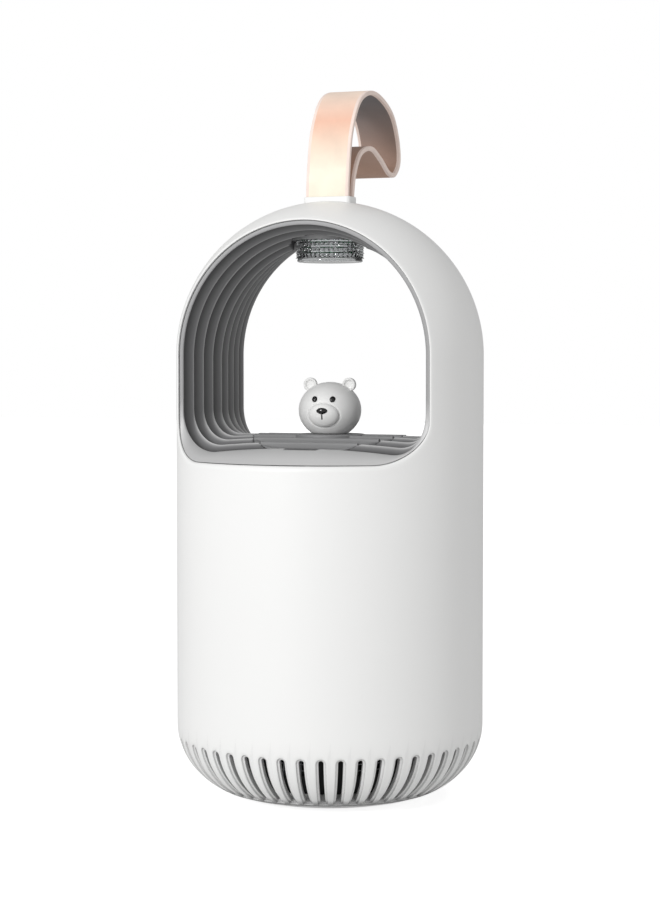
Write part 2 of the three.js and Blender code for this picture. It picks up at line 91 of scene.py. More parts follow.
class LampBodySizes(bpy.types.PropertyGroup):
    radius: length("Body radius", "Outer radius of the body", SHELL_HIGH[1])
    dome_height: length("Dome centre", "Height of the dome's centre", 0.1726)
    wall: length("Wall", "Thickness of the shell's wall", 0.0025)
    foot_flat: length("Foot flat", "Radius of the foot's flat middle", 0.026)
    foot_height: length("Foot height", "Height of the rounded foot", 0.029)
    mouth_radius: length("Mouth", "Radius of the opening under the foot", 0.042)
    slots: IntProperty(name="Slots", description="Air slots round the foot", default=50, min=10)
    slot_width: length("Slot width", "Width of the open slot", 0.0019)
    slot_step: length("Slot step", "Width of the recessed frame round a slot", 0.00095)
    tunnel_half: length("Tunnel half width", "Half width of the hole in the shell", 0.0512)
    tunnel_floor: length("Tunnel floor", "Height of the rim's lower edge", 0.1325)
    rim_corner: length("Rim corner", "Radius of the rim's lower corners", 0.016)


class LampLinerSizes(bpy.types.PropertyGroup):
    waist_half: length("Waist half width", "Half width at the tunnel's waist", 0.0463)
    lip_half: length("Lip half width", "Half width at the tunnel's ends", 0.0495)
    pitch: length("Terrace pitch", "Distance between terraces", 0.00725)
    terraces: IntProperty(name="Terraces", description="Terraces along the tunnel", default=8, min=2)
    undercut: length("Undercut", "Depth of the step behind each ridge", 0.0023)


class LampColours(bpy.types.PropertyGroup):
    body: colour("Body", "White of the moulded body, sRGB", "#F1F1F0")
    liner: colour("Liner", "Grey of the tunnel's lining, sRGB", "#8C8C8D")
    head: colour("Head", "White of the bear's head, sRGB", "#F0F0EF")
    strap: colour("Strap", "Grain side of the leather, sRGB", "#FBF3E0")
    # The bend colour is a painted sheen on the grain side.
    strap_bend: colour("Strap bend", "Grain side where the leather bends, sRGB", "#F3C4AC")
    strap_back: colour("Strap back", "Flesh side of the leather, sRGB", "#C4A08C")


# ---- mesh helpers --------------------------------------------------------------------------------------
def grid_faces(rows, columns, wrap_rows=False, wrap_columns=False):
    """Four-sided faces between neighbours on a grid; wrapping joins the last row or column to the first."""
    i = np.arange(rows if wrap_rows else rows - 1)
    j = np.arange(columns if wrap_columns else columns - 1)
    i, j = np.meshgrid(i, j, indexing="ij")
    below, beside = (i + 1) % rows, (j + 1) % columns
    corners = (i * columns + j, below * columns + j, below * columns + beside, i * columns + beside)
    return np.stack(corners, -1).reshape(-1, 4)


def patch(points, wrap_rows=False, wrap_columns=False):
    """A grid of points, rows by columns by 3, with its faces."""
    points = np.asarray(points, dtype=float)
    rows, columns = points.shape[:2]
    return points.reshape(-1, 3), grid_faces(rows, columns, wrap_rows, wrap_columns)


def capped(points, first=True, last=True):
    """A grid whose columns wrap round, with its first and last rows closed by a fan to their middles."""
    points = np.asarray(points, dtype=float)
    rows = [points]
    if first:
        rows.insert(0, np.broadcast_to(points[0].mean(axis=0), (1,) + points[0].shape))
    if last:
        rows.append(np.broadcast_to(points[-1].mean(axis=0), (1,) + points[-1].shape))
    return patch(np.concatenate(rows), wrap_columns=True)


def make_piece(name, patches, material, body="root", stands_for=(), sharp=35.0, weld=2e-6):
    """One object from patches in millimetres: welds their seams, turns faces outwards, smooths soft edges."""
    counts = np.cumsum([0] + [len(p) for p, _ in patches])
    points = np.concatenate([p for p, _ in patches]) * MM
    faces = np.concatenate([f + start for (_, f), start in zip(patches, counts)])
    mesh = bpy.data.meshes.new(name)
    mesh.from_pydata(points.tolist(), [], faces.tolist())
    shape = bmesh.new()
    shape.from_mesh(mesh)
    bmesh.ops.remove_doubles(shape, verts=shape.verts, dist=weld)
    bmesh.ops.dissolve_degenerate(shape, edges=shape.edges, dist=1e-7)
    bmesh.ops.recalc_face_normals(shape, faces=shape.faces)
    if shape.calc_volume(signed=True) < 0:
        bmesh.ops.reverse_faces(shape, faces=shape.faces)
    shape.to_mesh(mesh)
    shape.free()
    mesh.polygons.foreach_set("use_smooth", np.ones(len(mesh.polygons), dtype=bool))
    mesh.set_sharp_from_angle(angle=math.radians(sharp))
    mesh.materials.append(material)
    piece = bpy.data.objects.new(name, mesh)
    bpy.context.scene.collection.objects.link(piece)
    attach(piece, body)
    if stands_for:
        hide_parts(*stands_for)
    return piece


def turned(profile, columns=128, centre=(0.0, 0.0), axis="z"):
    """A profile of (radius, height) pairs carried round an axis, as a patch; radius 0 closes a pole."""
    profile = np.asarray(profile, dtype=float)
    angle = np.linspace(0, 2 * math.pi, columns, endpoint=False)
    radius, height = profile[:, :1], profile[:, 1:]
    first, second = radius * np.cos(angle), radius * np.sin(angle)
    along = np.broadcast_to(height, first.shape)
    if axis == "z":
        points = np.stack([centre[0] + first, centre[1] + second, along], -1)
    else:
        points = np.stack([centre[0] + first, along, centre[1] + second], -1)
    return patch(points, wrap_columns=True)


def rounded_profile(corners, steps=5):
    """Profile through (radius, height, fillet) corners, each fillet a quadratic curve between its tangents."""
    corners = [np.array(c, dtype=float) for c in corners]
    points = [corners[0][:2]]
    for before, here, after in zip(corners, corners[1:], corners[2:]):
        fillet = here[2]
        if fillet <= 0:
            points.append(here[:2])
            continue
        back, ahead = before[:2] - here[:2], after[:2] - here[:2]
        start = here[:2] + back / np.linalg.norm(back) * fillet
        end = here[:2] + ahead / np.linalg.norm(ahead) * fillet
        k = np.linspace(0, 1, steps)[:, None]
        points.extend((1 - k) ** 2 * start + 2 * k * (1 - k) * here[:2] + k ** 2 * end)
    points.append(corners[-1][:2])
    return np.array(points)


def closed_spline(points, per_span):
    """Centripetal Catmull-Rom curve through a closed ring of points: knots are the square roots of the
    chord lengths, and each span blends three linear and two quadratic pieces."""
    p = np.asarray(points, dtype=float)
    p0, p1, p2, p3 = (np.roll(p, shift, axis=0) for shift in (1, 0, -1, -2))
    gap = [np.sqrt(np.linalg.norm(b - a, axis=1))[:, None] for a, b in ((p0, p1), (p1, p2), (p2, p3))]
    t0 = np.zeros_like(gap[0])
    t1 = t0 + gap[0]
    t2 = t1 + gap[1]
    t3 = t2 + gap[2]
    spans = []
    for u in np.linspace(0, 1, per_span, endpoint=False):
        t = t1 + u * (t2 - t1)
        a1 = (t1 - t) / (t1 - t0) * p0 + (t - t0) / (t1 - t0) * p1
        a2 = (t2 - t) / (t2 - t1) * p1 + (t - t1) / (t2 - t1) * p2
        a3 = (t3 - t) / (t3 - t2) * p2 + (t - t2) / (t3 - t2) * p3
        b1 = (t2 - t) / (t2 - t0) * a1 + (t - t0) / (t2 - t0) * a2
        b2 = (t3 - t) / (t3 - t1) * a2 + (t - t1) / (t3 - t1) * a3
        spans.append((t2 - t) / (t2 - t1) * b1 + (t - t1) / (t2 - t1) * b2)
    return np.stack(spans, 1).reshape(-1, p.shape[1])


# ---- material helpers ----------------------------------------------------------------------------------
def linear(code, alpha=1.0):
    """sRGB hex code to linear RGBA."""
    channels = [int(code.lstrip("#")[i:i + 2], 16) / 255 for i in (0, 2, 4)]
    return tuple(c / 12.92 if c <= 0.04045 else ((c + 0.055) / 1.055) ** 2.4 for c in channels) + (alpha,)


def add_node(tree, kind, inputs=None, **settings):
    """Adds a node with its settings; an input takes a value, or a link when it is given a socket."""
    node = tree.nodes.new(kind)
    for name, value in settings.items():
        setattr(node, name, value)
    for name, value in (inputs or {}).items():
        if isinstance(value, bpy.types.NodeSocket):
            tree.links.new(value, node.inputs[name])
        else:
            node.inputs[name].default_value = value
    return node


def new_material(name):
    """An empty material with a Principled shader on its output."""
    material = bpy.data.materials.new(name)
    material.use_nodes = True
    tree = material.node_tree
    tree.nodes.clear()
    shader = add_node(tree, "ShaderNodeBsdfPrincipled")
    add_node(tree, "ShaderNodeOutputMaterial", {"Surface": shader.outputs[0]})
    return material, tree, shader


def per_metre(millimetres):
    """Texture scale on Object coordinates for a feature of that size."""
    return 1.0 / (millimetres * MM)


def moulded_plastic(name, code, roughness, grain_mm, depth_mm, tone=0.03):
    """Injection-moulded plastic: one even colour with a slow drift of tone, and the fine spark-eroded grain
    of the mould, which breaks the highlight up. The grain is drawn coarser than the real 0.05 mm."""
    material, tree, shader = new_material(name)
    place = add_node(tree, "ShaderNodeTexCoord").outputs["Object"]
    drift = add_node(tree, "ShaderNodeTexNoise", {"Vector": place, "Scale": per_metre(60), "Detail": 2.0})
    base = linear(code)
    darker = tuple(c * (1 - tone) for c in base[:3]) + (1.0,)
    ramp = add_node(tree, "ShaderNodeValToRGB", {"Fac": drift.outputs["Fac"]})
    ramp.color_ramp.elements[0].color, ramp.color_ramp.elements[1].color = darker, base
    ramp.color_ramp.elements[0].position, ramp.color_ramp.elements[1].position = 0.3, 0.7
    tree.links.new(ramp.outputs["Color"], shader.inputs["Base Color"])
    grain = add_node(tree, "ShaderNodeTexNoise", {"Vector": place, "Scale": per_metre(grain_mm), "Detail": 3.0})
    spread = add_node(tree, "ShaderNodeMapRange", {
        "Value": grain.outputs["Fac"], "To Min": roughness - 0.05, "To Max": roughness + 0.05})
    tree.links.new(spread.outputs["Result"], shader.inputs["Roughness"])
    bump = add_node(tree, "ShaderNodeBump", {
        "Height": grain.outputs["Fac"], "Strength": 0.35, "Distance": depth_mm * MM})
    tree.links.new(bump.outputs["Normal"], shader.inputs["Normal"])
    shader.inputs["IOR"].default_value = 1.53
    return material


MADE = {}


def finish(key):
    """The material of that key, made once."""
    if key not in MADE:
        MADE[key] = FINISHES[key]()
    return MADE[key]


def white_abs():
    """Satin white: a wide, soft highlight and almost no change of tone."""
    colours = bpy.context.scene.lamp_colours
    return moulded_plastic("White ABS, satin moulded", colours.body, 0.42, 0.25, 0.004, 0.01)


def slotted_abs():
    """The body's white plastic with its colour greyed deep in slots and corners, which strengthens the shade
    that the light alone gives there. It is a painted-in shade, not a second colour of plastic."""
    material = white_abs()
    material.name = "White ABS, satin moulded, shaded slots"
    tree = material.node_tree
    shader = next(node for node in tree.nodes if node.type == "BSDF_PRINCIPLED")
    clean = shader.inputs["Base Color"].links[0].from_socket
    open_sky = add_node(tree, "ShaderNodeAmbientOcclusion", {"Distance": 7 * MM}, samples=4).outputs["AO"]
    shade = add_node(tree, "ShaderNodeMapRange", {
        "Value": open_sky, "From Min": 0.3, "From Max": 0.88, "To Min": 1.0, "To Max": 0.0})
    mixed = add_node(tree, "ShaderNodeMixRGB", {
        "Fac": shade.outputs["Result"], "Color1": clean, "Color2": linear("#4C4C4E")})
    tree.links.new(mixed.outputs["Color"], shader.inputs["Base Color"])
    return material


def grey_abs():
    """Mid grey and rougher than the body, so the tunnel's inside reads matt."""
    colours = bpy.context.scene.lamp_colours
    return moulded_plastic("Grey ABS, spark-eroded mould", colours.liner, 0.55, 0.3, 0.02, 0.06)


def terraced_abs():
    """The same grey plastic on the tunnel's terraces. The tone attribute paints in shade: darker in the
    undercuts and lighter on the ridges and the apron, so each terrace reads apart from the next."""
    material = grey_abs()
    material.name = "Grey ABS, terraces"
    tree = material.node_tree
    shader = next(node for node in tree.nodes if node.type == "BSDF_PRINCIPLED")
    tone = add_node(tree, "ShaderNodeAttribute", attribute_name="tone").outputs["Fac"]
    ramp = add_node(tree, "ShaderNodeValToRGB", {"Fac": tone})
    stops = ramp.color_ramp.elements
    stops[0].color, stops[1].color = linear("#2F2F30"), linear("#E2E2E2")
    middle = stops.new(0.6)
    middle.color = linear("#8A8A8B")
    tree.links.new(ramp.outputs["Color"], shader.inputs["Base Color"])
    return material


def head_abs():
    """The head's plastic is a shade whiter and smoother than the liner's, so it stands out in the tunnel."""
    colours = bpy.context.scene.lamp_colours
    return moulded_plastic("Pearl white ABS, satin moulded", colours.head, 0.4, 0.3, 0.006, 0.04)


def black_abs():
    """Near black, satin: the inside parts stay dark behind the slots."""
    return moulded_plastic("Black ABS, satin moulded", "#1A1B1D", 0.45, 0.3, 0.008, 0.2)


def black_gloss():
    """Polished black, so the eyes and nose each carry one small bright highlight."""
    return moulded_plastic("Black acrylic, polished", "#0E0E10", 0.12, 1.2, 0.001, 0.2)


def strap_leather():
    """Vegetable-tanned leather: a pale grain side with pores and fine creases, a brown fibrous flesh side and
    light cut edges. The piece's own side attribute is 0 on the grain side, 0.5 on the edges, 1 on the back,
    and 1 on both faces of the stretch under the hump, where the flesh colour is a painted shade. Both faces
    change colour with height: on the grain side a painted sheen along the bend, on the flesh side a painted
    shade that greys it towards the top."""
    colours = bpy.context.scene.lamp_colours
    material, tree, shader = new_material("Vegetable-tanned leather, matt")
    place = add_node(tree, "ShaderNodeTexCoord").outputs["Object"]
    parts = add_node(tree, "ShaderNodeSeparateXYZ", {"Vector": place})
    height = add_node(tree, "ShaderNodeMapRange", {
        "Value": parts.outputs["Z"], "From Min": 0.245, "From Max": 0.276})
    # Painted sheen: the grain side's colour changes with height and turns peach along the bend.
    grain_side = add_node(tree, "ShaderNodeValToRGB", {"Fac": height.outputs["Result"]})
    stops = grain_side.color_ramp.elements
    stops[0].color, stops[1].color = linear(colours.strap), linear("#F9E3D2")
    bend = stops.new(0.62)
    bend.color = linear(colours.strap_bend)
    side = add_node(tree, "ShaderNodeAttribute", attribute_name="side").outputs["Fac"]
    masks = [add_node(tree, "ShaderNodeMath", {0: side, 1: level}, operation="GREATER_THAN").outputs["Value"]
             for level in (0.25, 0.75)]
    edged = add_node(tree, "ShaderNodeMixRGB", {
        "Fac": masks[0], "Color1": grain_side.outputs["Color"], "Color2": linear("#F7E4DA")})
    # Painted shade: the flesh side greys towards the top of the strap, inside the loop.
    flesh_side = add_node(tree, "ShaderNodeValToRGB", {"Fac": height.outputs["Result"]})
    stops = flesh_side.color_ramp.elements
    stops[0].color, stops[1].color = linear(colours.strap_back), linear("#7A7A7C")
    ramp = add_node(tree, "ShaderNodeMixRGB", {
        "Fac": masks[1], "Color1": edged.outputs["Color"], "Color2": flesh_side.outputs["Color"]})
    cloud = add_node(tree, "ShaderNodeTexNoise", {"Vector": place, "Scale": per_metre(9), "Detail": 5.0})
    tone = add_node(tree, "ShaderNodeMapRange", {
        "Value": cloud.outputs["Fac"], "From Min": 0.3, "From Max": 0.7, "To Min": 0.93, "To Max": 1.03})
    shade = add_node(tree, "ShaderNodeVectorMath", {0: ramp.outputs["Color"], "Scale": tone.outputs["Result"]},
                     operation="SCALE")
    tree.links.new(shade.outputs["Vector"], shader.inputs["Base Color"])
    pores = add_node(tree, "ShaderNodeTexVoronoi", {"Vector": place, "Scale": per_metre(0.7)})
    fibres = add_node(tree, "ShaderNodeTexNoise", {"Vector": place, "Scale": per_metre(0.35), "Detail": 6.0})
    relief = add_node(tree, "ShaderNodeMath", {0: pores.outputs["Distance"], 1: fibres.outputs["Fac"]},
                      operation="ADD")
    bump = add_node(tree, "ShaderNodeBump", {
        "Height": relief.outputs["Value"], "Strength": 0.5, "Distance": 0.06 * MM})
    tree.links.new(bump.outputs["Normal"], shader.inputs["Normal"])
    shader.inputs["Roughness"].default_value = 0.62
    shader.inputs["Specular IOR Level"].default_value = 0.35
    return material


def clear_lens():
    """Clear moulded polycarbonate: it bends what is behind it, with a faint haze from the mould."""
    material, tree, shader = new_material("Clear polycarbonate, moulded prisms")
    place = add_node(tree, "ShaderNodeTexCoord").outputs["Object"]
    haze = add_node(tree, "ShaderNodeTexNoise", {"Vector": place, "Scale": per_metre(2), "Detail": 2.0})
    spread = add_node(tree, "ShaderNodeMapRange", {
        "Value": haze.outputs["Fac"], "To Min": 0.02, "To Max": 0.1})
    tree.links.new(spread.outputs["Result"], shader.inputs["Roughness"])
    shader.inputs["Base Color"].default_value = linear("#F7F9FA")
    shader.inputs["Transmission Weight"].default_value = 1.0
    shader.inputs["IOR"].default_value = 1.58
    return material


def led_resin():
    """Clear epoxy over a small chip: glassy, faintly violet."""
    material, tree, shader = new_material("LED epoxy, cast")
    place = add_node(tree, "ShaderNodeTexCoord").outputs["Object"]
    cloud = add_node(tree, "ShaderNodeTexNoise", {"Vector": place, "Scale": per_metre(1.5)})
    ramp = add_node(tree, "ShaderNodeValToRGB", {"Fac": cloud.outputs["Fac"]})
    stops = ramp.color_ramp.elements
    stops[0].color, stops[1].color = linear("#E4DDF5"), linear("#F4EFE2")
    tree.links.new(ramp.outputs["Color"], shader.inputs["Base Color"])
    shader.inputs["Roughness"].default_value = 0.15
    return material


def metal(name, code, roughness, grain_mm):
    """Plated or drawn metal: a clear reflection, broken up by fine scratches from its making."""
    material, tree, shader = new_material(name)
    place = add_node(tree, "ShaderNodeTexCoord").outputs["Object"]
    grain = add_node(tree, "ShaderNodeTexNoise", {"Vector": place, "Scale": per_metre(grain_mm), "Detail": 4.0})
    spread = add_node(tree, "ShaderNodeMapRange", {
        "Value": grain.outputs["Fac"], "To Min": roughness - 0.08, "To Max": roughness + 0.1})
    tree.links.new(spread.outputs["Result"], shader.inputs["Roughness"])
    base = linear(code)
    ramp = add_node(tree, "ShaderNodeValToRGB", {"Fac": grain.outputs["Fac"]})
    stops = ramp.color_ramp.elements
    stops[0].color, stops[1].color = tuple(c * 0.85 for c in base[:3]) + (1.0,), base
    tree.links.new(ramp.outputs["Color"], shader.inputs["Base Color"])
    shader.inputs["Metallic"].default_value = 1.0
    return material


def steel():
    """Bright zinc plate with fine tumbling scratches."""
    return metal("Steel, zinc plated", "#B9BCC0", 0.32, 0.4)


def bronze():
    """Pressed and oiled powder: dull, warm, without a clear reflection."""
    return metal("Bronze, sintered", "#A97F4B", 0.45, 0.3)


def mesh_steel():
    """Drawn wire, a little duller than the plated screws. The wires are thicker than real ones."""
    return metal("Stainless steel wire, woven", "#A3A6A9", 0.35, 0.5)


def circuit_board():
    """Fibreglass board under green solder mask: glossy, with paler tracks showing through."""
    material, tree, shader = new_material("Circuit board, solder mask")
    place = add_node(tree, "ShaderNodeTexCoord").outputs["Object"]
    tracks = add_node(tree, "ShaderNodeTexBrick", {
        "Vector": place, "Scale": per_metre(6), "Mortar Size": 0.06,
        "Color1": linear("#1C6A41"), "Color2": linear("#1A613C"), "Mortar": linear("#3C8A5C")})
    tree.links.new(tracks.outputs["Color"], shader.inputs["Base Color"])
    shader.inputs["Roughness"].default_value = 0.3
    return material


def foot_rubber():
    """Dark grey and fully matt."""
    return moulded_plastic("Rubber, compression moulded", "#303133", 0.8, 0.4, 0.02, 0.15)


def lead_pvc():
    """Smooth black sleeve with a soft shine."""
    return moulded_plastic("PVC lead, extruded", "#161617", 0.5, 0.5, 0.004, 0.1)


FINISHES = {f.__name__: f for f in (
    white_abs, slotted_abs, grey_abs, terraced_abs, head_abs, black_abs, black_gloss, strap_leather, clear_lens,
    led_resin, steel, bronze, mesh_steel, circuit_board, foot_rubber, lead_pvc)}


# ---- the tunnel's outline ------------------------------------------------------------------------------
LOW_STEPS, SIDE_STEPS, ARCH_STEPS = 100, 40, 120


def arch_outline(half, arch_z, floor_z, corner, crown=0.0, steps=(LOW_STEPS, SIDE_STEPS, ARCH_STEPS)):
    """Closed outline in X and Z from the middle of the floor, round by the right: the floor and half of its
    corner, the rest of the corner and the wall, the round arch, and the same down the left. A crown lets
    the floor fall towards the corners by the square of the distance from the middle."""
    low, side, arch = steps
    flat, bend = half - corner, corner * math.pi / 4
    s = np.linspace(0, flat + bend, low, endpoint=False)
    turn = np.maximum(s - flat, 0) / max(corner, 1e-9)
    low_points = np.stack([np.minimum(s, flat) + corner * np.sin(turn),
                           floor_z + corner * (1 - np.cos(turn))], -1)
    s = np.linspace(0, bend + arch_z - floor_z - corner, side, endpoint=False)
    turn = math.pi / 4 + np.minimum(s, bend) / max(corner, 1e-9)
    rise = np.maximum(s - bend, 0)
    if corner <= 0:
        side_points = np.stack([np.full_like(s, half), floor_z + s], -1)
    else:
        side_points = np.stack([flat + corner * np.sin(turn), floor_z + corner * (1 - np.cos(turn)) + rise], -1)
    a = np.linspace(0, math.pi, arch + 1)
    arch_points = np.stack([half * np.cos(a), arch_z + half * np.sin(a)], -1)
    right = np.concatenate([low_points, side_points])
    left = right[:0:-1] * (-1, 1)
    outline = np.concatenate([right, arch_points, left])
    if crown:
        near_floor = np.clip(1 - (outline[:, 1] - floor_z) / max(corner, 1e-9), 0, 1)
        outline[:, 1] -= crown * (outline[:, 0] / half) ** 2 * near_floor
    return outline


# ---- shell ---------------------------------------------------------------------------------------------
class Skin:
    """The body's outer or inner surface above the foot: a cylinder and a dome of one radius."""

    def __init__(self, sizes, inset=0.0):
        self.radius = sizes.radius / MM - inset
        self.dome_z = sizes.dome_height / MM

    def depth(self, outline):
        """How far in front of the axis the surface is at each point of an outline in X and Z."""
        x, rise = outline[..., 0], np.maximum(outline[..., 1] - self.dome_z, 0)
        return -np.sqrt(np.maximum(self.radius ** 2 - x ** 2 - rise ** 2, 0))

    def on_front(self, outline):
        return np.stack([outline[..., 0], self.depth(outline), outline[..., 1]], -1)

    def to_map(self, outline):
        """Flattens the front: on the cylinder arc length and height, on the dome distance from the front
        pole along a great circle, in the direction seen from the front."""
        x, rise = outline[..., 0], outline[..., 1] - self.dome_z
        across = np.arcsin(np.clip(x / self.radius, -1, 1)) * self.radius
        off = np.maximum(np.hypot(x, rise), 1e-9)
        far = np.arcsin(np.clip(off / self.radius, -1, 1)) * self.radius / off
        on_dome = rise > 0
        return np.stack([np.where(on_dome, x * far, across), np.where(on_dome, rise * far, rise)], -1)

    def from_map(self, flat):
        p, q = flat[..., 0], flat[..., 1]
        angle = p / self.radius
        off = np.maximum(np.hypot(p, q), 1e-9)
        far = off / self.radius
        dome = np.stack([self.radius * np.sin(far) * p / off, -self.radius * np.cos(far),
                         self.dome_z + self.radius * np.sin(far) * q / off], -1)
        tube = np.stack([self.radius * np.sin(angle), -self.radius * np.cos(angle), self.dome_z + q], -1)
        return np.where((q > 0)[..., None], dome, tube)


def skin_patch(skin, outline, rows):
    """Rows of points on the skin from a tunnel outline to the edge of the front half: straight lines in the
    flattened map, closer together near the tunnel."""
    near = skin.to_map(outline)
    half = skin.radius * math.pi / 2
    far = arch_outline(half, 0.0, SPLIT_Z - skin.dome_z, 0.0)
    s = (np.linspace(0, 1, rows) ** 1.5)[:, None, None]
    return skin.from_map(near * (1 - s) + far * s)


def rim_outline(sizes, grow=0.0):
    return arch_outline(sizes.tunnel_half / MM + grow, sizes.dome_height / MM,
                        sizes.tunnel_floor / MM - 1.8 * grow, sizes.rim_corner / MM + grow)


def upper_shell(sizes):
    """Front and rear halves above the split: outer skin, a rolled edge into the tunnel, the wall's edge and
    the inner skin. The rolled edge is a quadratic curve whose middle point is the sharp edge."""
    outer, inner = Skin(sizes), Skin(sizes, sizes.wall / MM)
    start = rim_outline(sizes, 1.3)
    edge = rim_outline(sizes)
    sharp = outer.on_front(edge)
    into = sharp + np.array([0, 2.3, 0])
    from_skin = outer.on_front(start)
    k = np.linspace(0, 1, 9)[1:, None, None]
    roll = (1 - k) ** 2 * from_skin + 2 * k * (1 - k) * sharp + k ** 2 * into
    inside = inner.on_front(edge)
    inside[:, 1] = np.maximum(inside[:, 1], into[:, 1] + 0.05)
    rows = np.concatenate([skin_patch(outer, start, 26)[::-1], roll, inside[None], skin_patch(inner, edge, 7)])
    return [patch(rows, wrap_columns=True), patch(rows * (1, -1, 1), wrap_columns=True)]


class FootSkin:
    """The body below the dome along its side: v is the distance down from the top of the rounded foot,
    whose section is a quarter ellipse, and w the distance out from the surface."""

    def __init__(self, sizes):
        self.radius = sizes.radius / MM
        self.flat = sizes.foot_flat / MM
        self.height = sizes.foot_height / MM
        turn = np.linspace(math.pi / 2, 0, 400)
        self.table_r = self.flat + (self.radius - self.flat) * np.sin(turn)
        self.table_z = self.height - self.height * np.cos(turn)
        steps = np.hypot(np.diff(self.table_r), np.diff(self.table_z))
        self.table_v = np.concatenate([[0], np.cumsum(steps)])

    def at_radius(self, radius):
        return float(np.interp(-radius, -self.table_r, self.table_v))

    def at_height(self, z):
        return float(np.interp(-z, -self.table_z, self.table_v))

    def place(self, angle, v, w):
        r = np.where(v <= 0, self.radius, np.interp(v, self.table_v, self.table_r))
        z = np.where(v <= 0, self.height - v, np.interp(v, self.table_v, self.table_z))
        lean_r = (r - self.flat) / (self.radius - self.flat) ** 2
        lean_z = np.minimum(z - self.height, 0) / self.height ** 2
        size = np.hypot(lean_r, lean_z)
        r, z = r + w * lean_r / size, z + w * lean_z / size
        return np.stack([r * np.sin(angle), -r * np.cos(angle), z], -1)

    def radius_at(self, v):
        return np.where(v <= 0, self.radius, np.interp(v, self.table_v, self.table_r))


TOP_STEPS, FLANK_STEPS = 8, 18


def slot_loop(skin, half, top, bottom, corner):
    """Closed loop round a slot as (angle, v): a round top, straight flanks and a flat foot with small
    corners, the same number of points on each stretch as the pitch's own border."""
    a = np.linspace(math.pi, 0, TOP_STEPS + 1)
    over = np.stack([half * np.cos(a), top + half - half * np.sin(a)], -1)
    v = np.linspace(top + half, bottom - corner, FLANK_STEPS + 1)[1:-1]
    down = np.stack([np.full_like(v, half), v], -1)
    a = np.linspace(0, math.pi / 2, TOP_STEPS // 2 + 1)
    right = np.stack([half - corner + corner * np.cos(a), bottom - corner + corner * np.sin(a)], -1)
    foot = np.concatenate([right, right[::-1] * (-1, 1)])
    keep = np.linspace(0, len(foot) - 1, TOP_STEPS + 1).round().astype(int)
    loop = np.concatenate([over, down, foot[keep], down[::-1] * (-1, 1)])
    loop[:, 0] /= skin.radius_at(loop[:, 1])
    return loop


def border_loop(pitch, top, bottom):
    """The border of one slot's share of the foot, as (angle, v), matched point for point to slot_loop."""
    across = np.linspace(-pitch / 2, pitch / 2, TOP_STEPS + 1)
    v = np.linspace(top, bottom, FLANK_STEPS + 1)[1:-1]
    over = np.stack([across, np.full_like(across, top)], -1)
    down = np.stack([np.full_like(v, pitch / 2), v], -1)
    foot = np.stack([across[::-1], np.full_like(across, bottom)], -1)
    return np.concatenate([over, down, foot, down[::-1] * (-1, 1)])


def slotted_foot(sizes):
    """One slot's share of the wall, repeated round the foot: the skin, a step down to a frame round the
    slot, a bevel, the slot's walls, and the inside of the wall."""
    skin = FootSkin(sizes)
    pitch = 2 * math.pi / sizes.slots
    half, step = sizes.slot_width / MM / 2, sizes.slot_step / MM
    wall = sizes.wall / MM
    slot_top, slot_bottom = skin.at_height(23.6), skin.at_radius(44.6)
    region_top, region_bottom = -2.0, skin.at_radius(MOUTH_RING)
    border = border_loop(pitch, region_top, region_bottom)

    def loop(out, corner=0.45):
        return slot_loop(skin, half + out, slot_top - out, slot_bottom + out * 0.8, corner)

    outer = loop(step + 0.12)
    rings = [(border * (1 - s) + outer * s, 0.0) for s in (0.0, 0.4, 0.75, 1.0)]
    rings += [(loop(step + 0.02), -0.07), (loop(step - 0.05), -0.65), (loop(step - 0.15), -0.75),
              (loop(0.24), -0.78), (loop(0.08), -0.85), (loop(0.0), -1.05), (loop(0.0), -wall)]
    rings += [(border * s + loop(0.0) * (1 - s), -wall) for s in (0.5, 1.0)]
    points = np.stack([skin.place(ring[:, 0], ring[:, 1], w) for ring, w in rings])
    patches = []
    for k in range(sizes.slots):
        turn = (k + 0.5) * pitch
        c, s = math.cos(turn), math.sin(turn)
        moved = np.stack([points[..., 0] * c - points[..., 1] * s, points[..., 0] * s + points[..., 1] * c,
                          points[..., 2]], -1)
        patches.append(patch(moved, wrap_columns=True))
    return patches


def plain_rings(sizes):
    """The plain wall between the slots and the split, outside and inside, and the plain ring round the
    mouth, whose edge is rounded."""
    skin = FootSkin(sizes)
    wall = sizes.wall / MM
    angle = np.linspace(0, 2 * math.pi, sizes.slots * TOP_STEPS, endpoint=False)
    climb = np.linspace(-2.0, skin.height - SPLIT_Z, 10)
    outside = np.stack([skin.place(angle, np.full_like(angle, v), 0.0) for v in climb])
    inside = np.stack([skin.place(angle, np.full_like(angle, v), -wall) for v in climb])
    near, mouth = skin.at_radius(MOUTH_RING), skin.at_radius(sizes.mouth_radius / MM)
    steps = [(near, 0.0), (mouth - 0.5, 0.0), (mouth - 0.15, -0.1), (mouth, -0.45), (mouth, -wall + 0.3),
             (mouth - 0.1, -wall), (near, -wall)]
    lip = np.stack([skin.place(angle, np.full_like(angle, v), w) for v, w in steps])
    return [patch(outside, wrap_columns=True), patch(inside, wrap_columns=True), patch(lip, wrap_columns=True)]


# ---- liner ---------------------------------------------------------------------------------------------
LINER_STEPS = (60, 34, 90)


def ridge_section(liner, body, reach, out=0.0):
    """Outline of the tunnel at a ridge: reach is 0 at the waist and 1 at the ends. Half width grows with
    the 1.3th power of reach and the floor falls with its 2.2th, and the floor is crowned near the ends.
    out is how much of the undercut the outline is grown by; the undercut gets shallow near the ends."""
    spread = reach ** 1.3
    half = (liner.waist_half + (liner.lip_half - liner.waist_half) * spread) / MM
    grow = out * min(liner.undercut / MM, body.tunnel_half / MM - 0.7 - half)
    half += grow
    arch_z = WAIST_ARCH_Z + (body.dome_height / MM - WAIST_ARCH_Z) * spread
    floor_z = FLOOR_TOP - FLOOR_FALL * reach ** FLOOR_POWER - grow
    corner = 9 + (body.rim_corner / MM - 2 - 9) * spread
    return arch_outline(half, arch_z, floor_z, corner, crown=0.6 + 3.0 * reach, steps=LINER_STEPS)


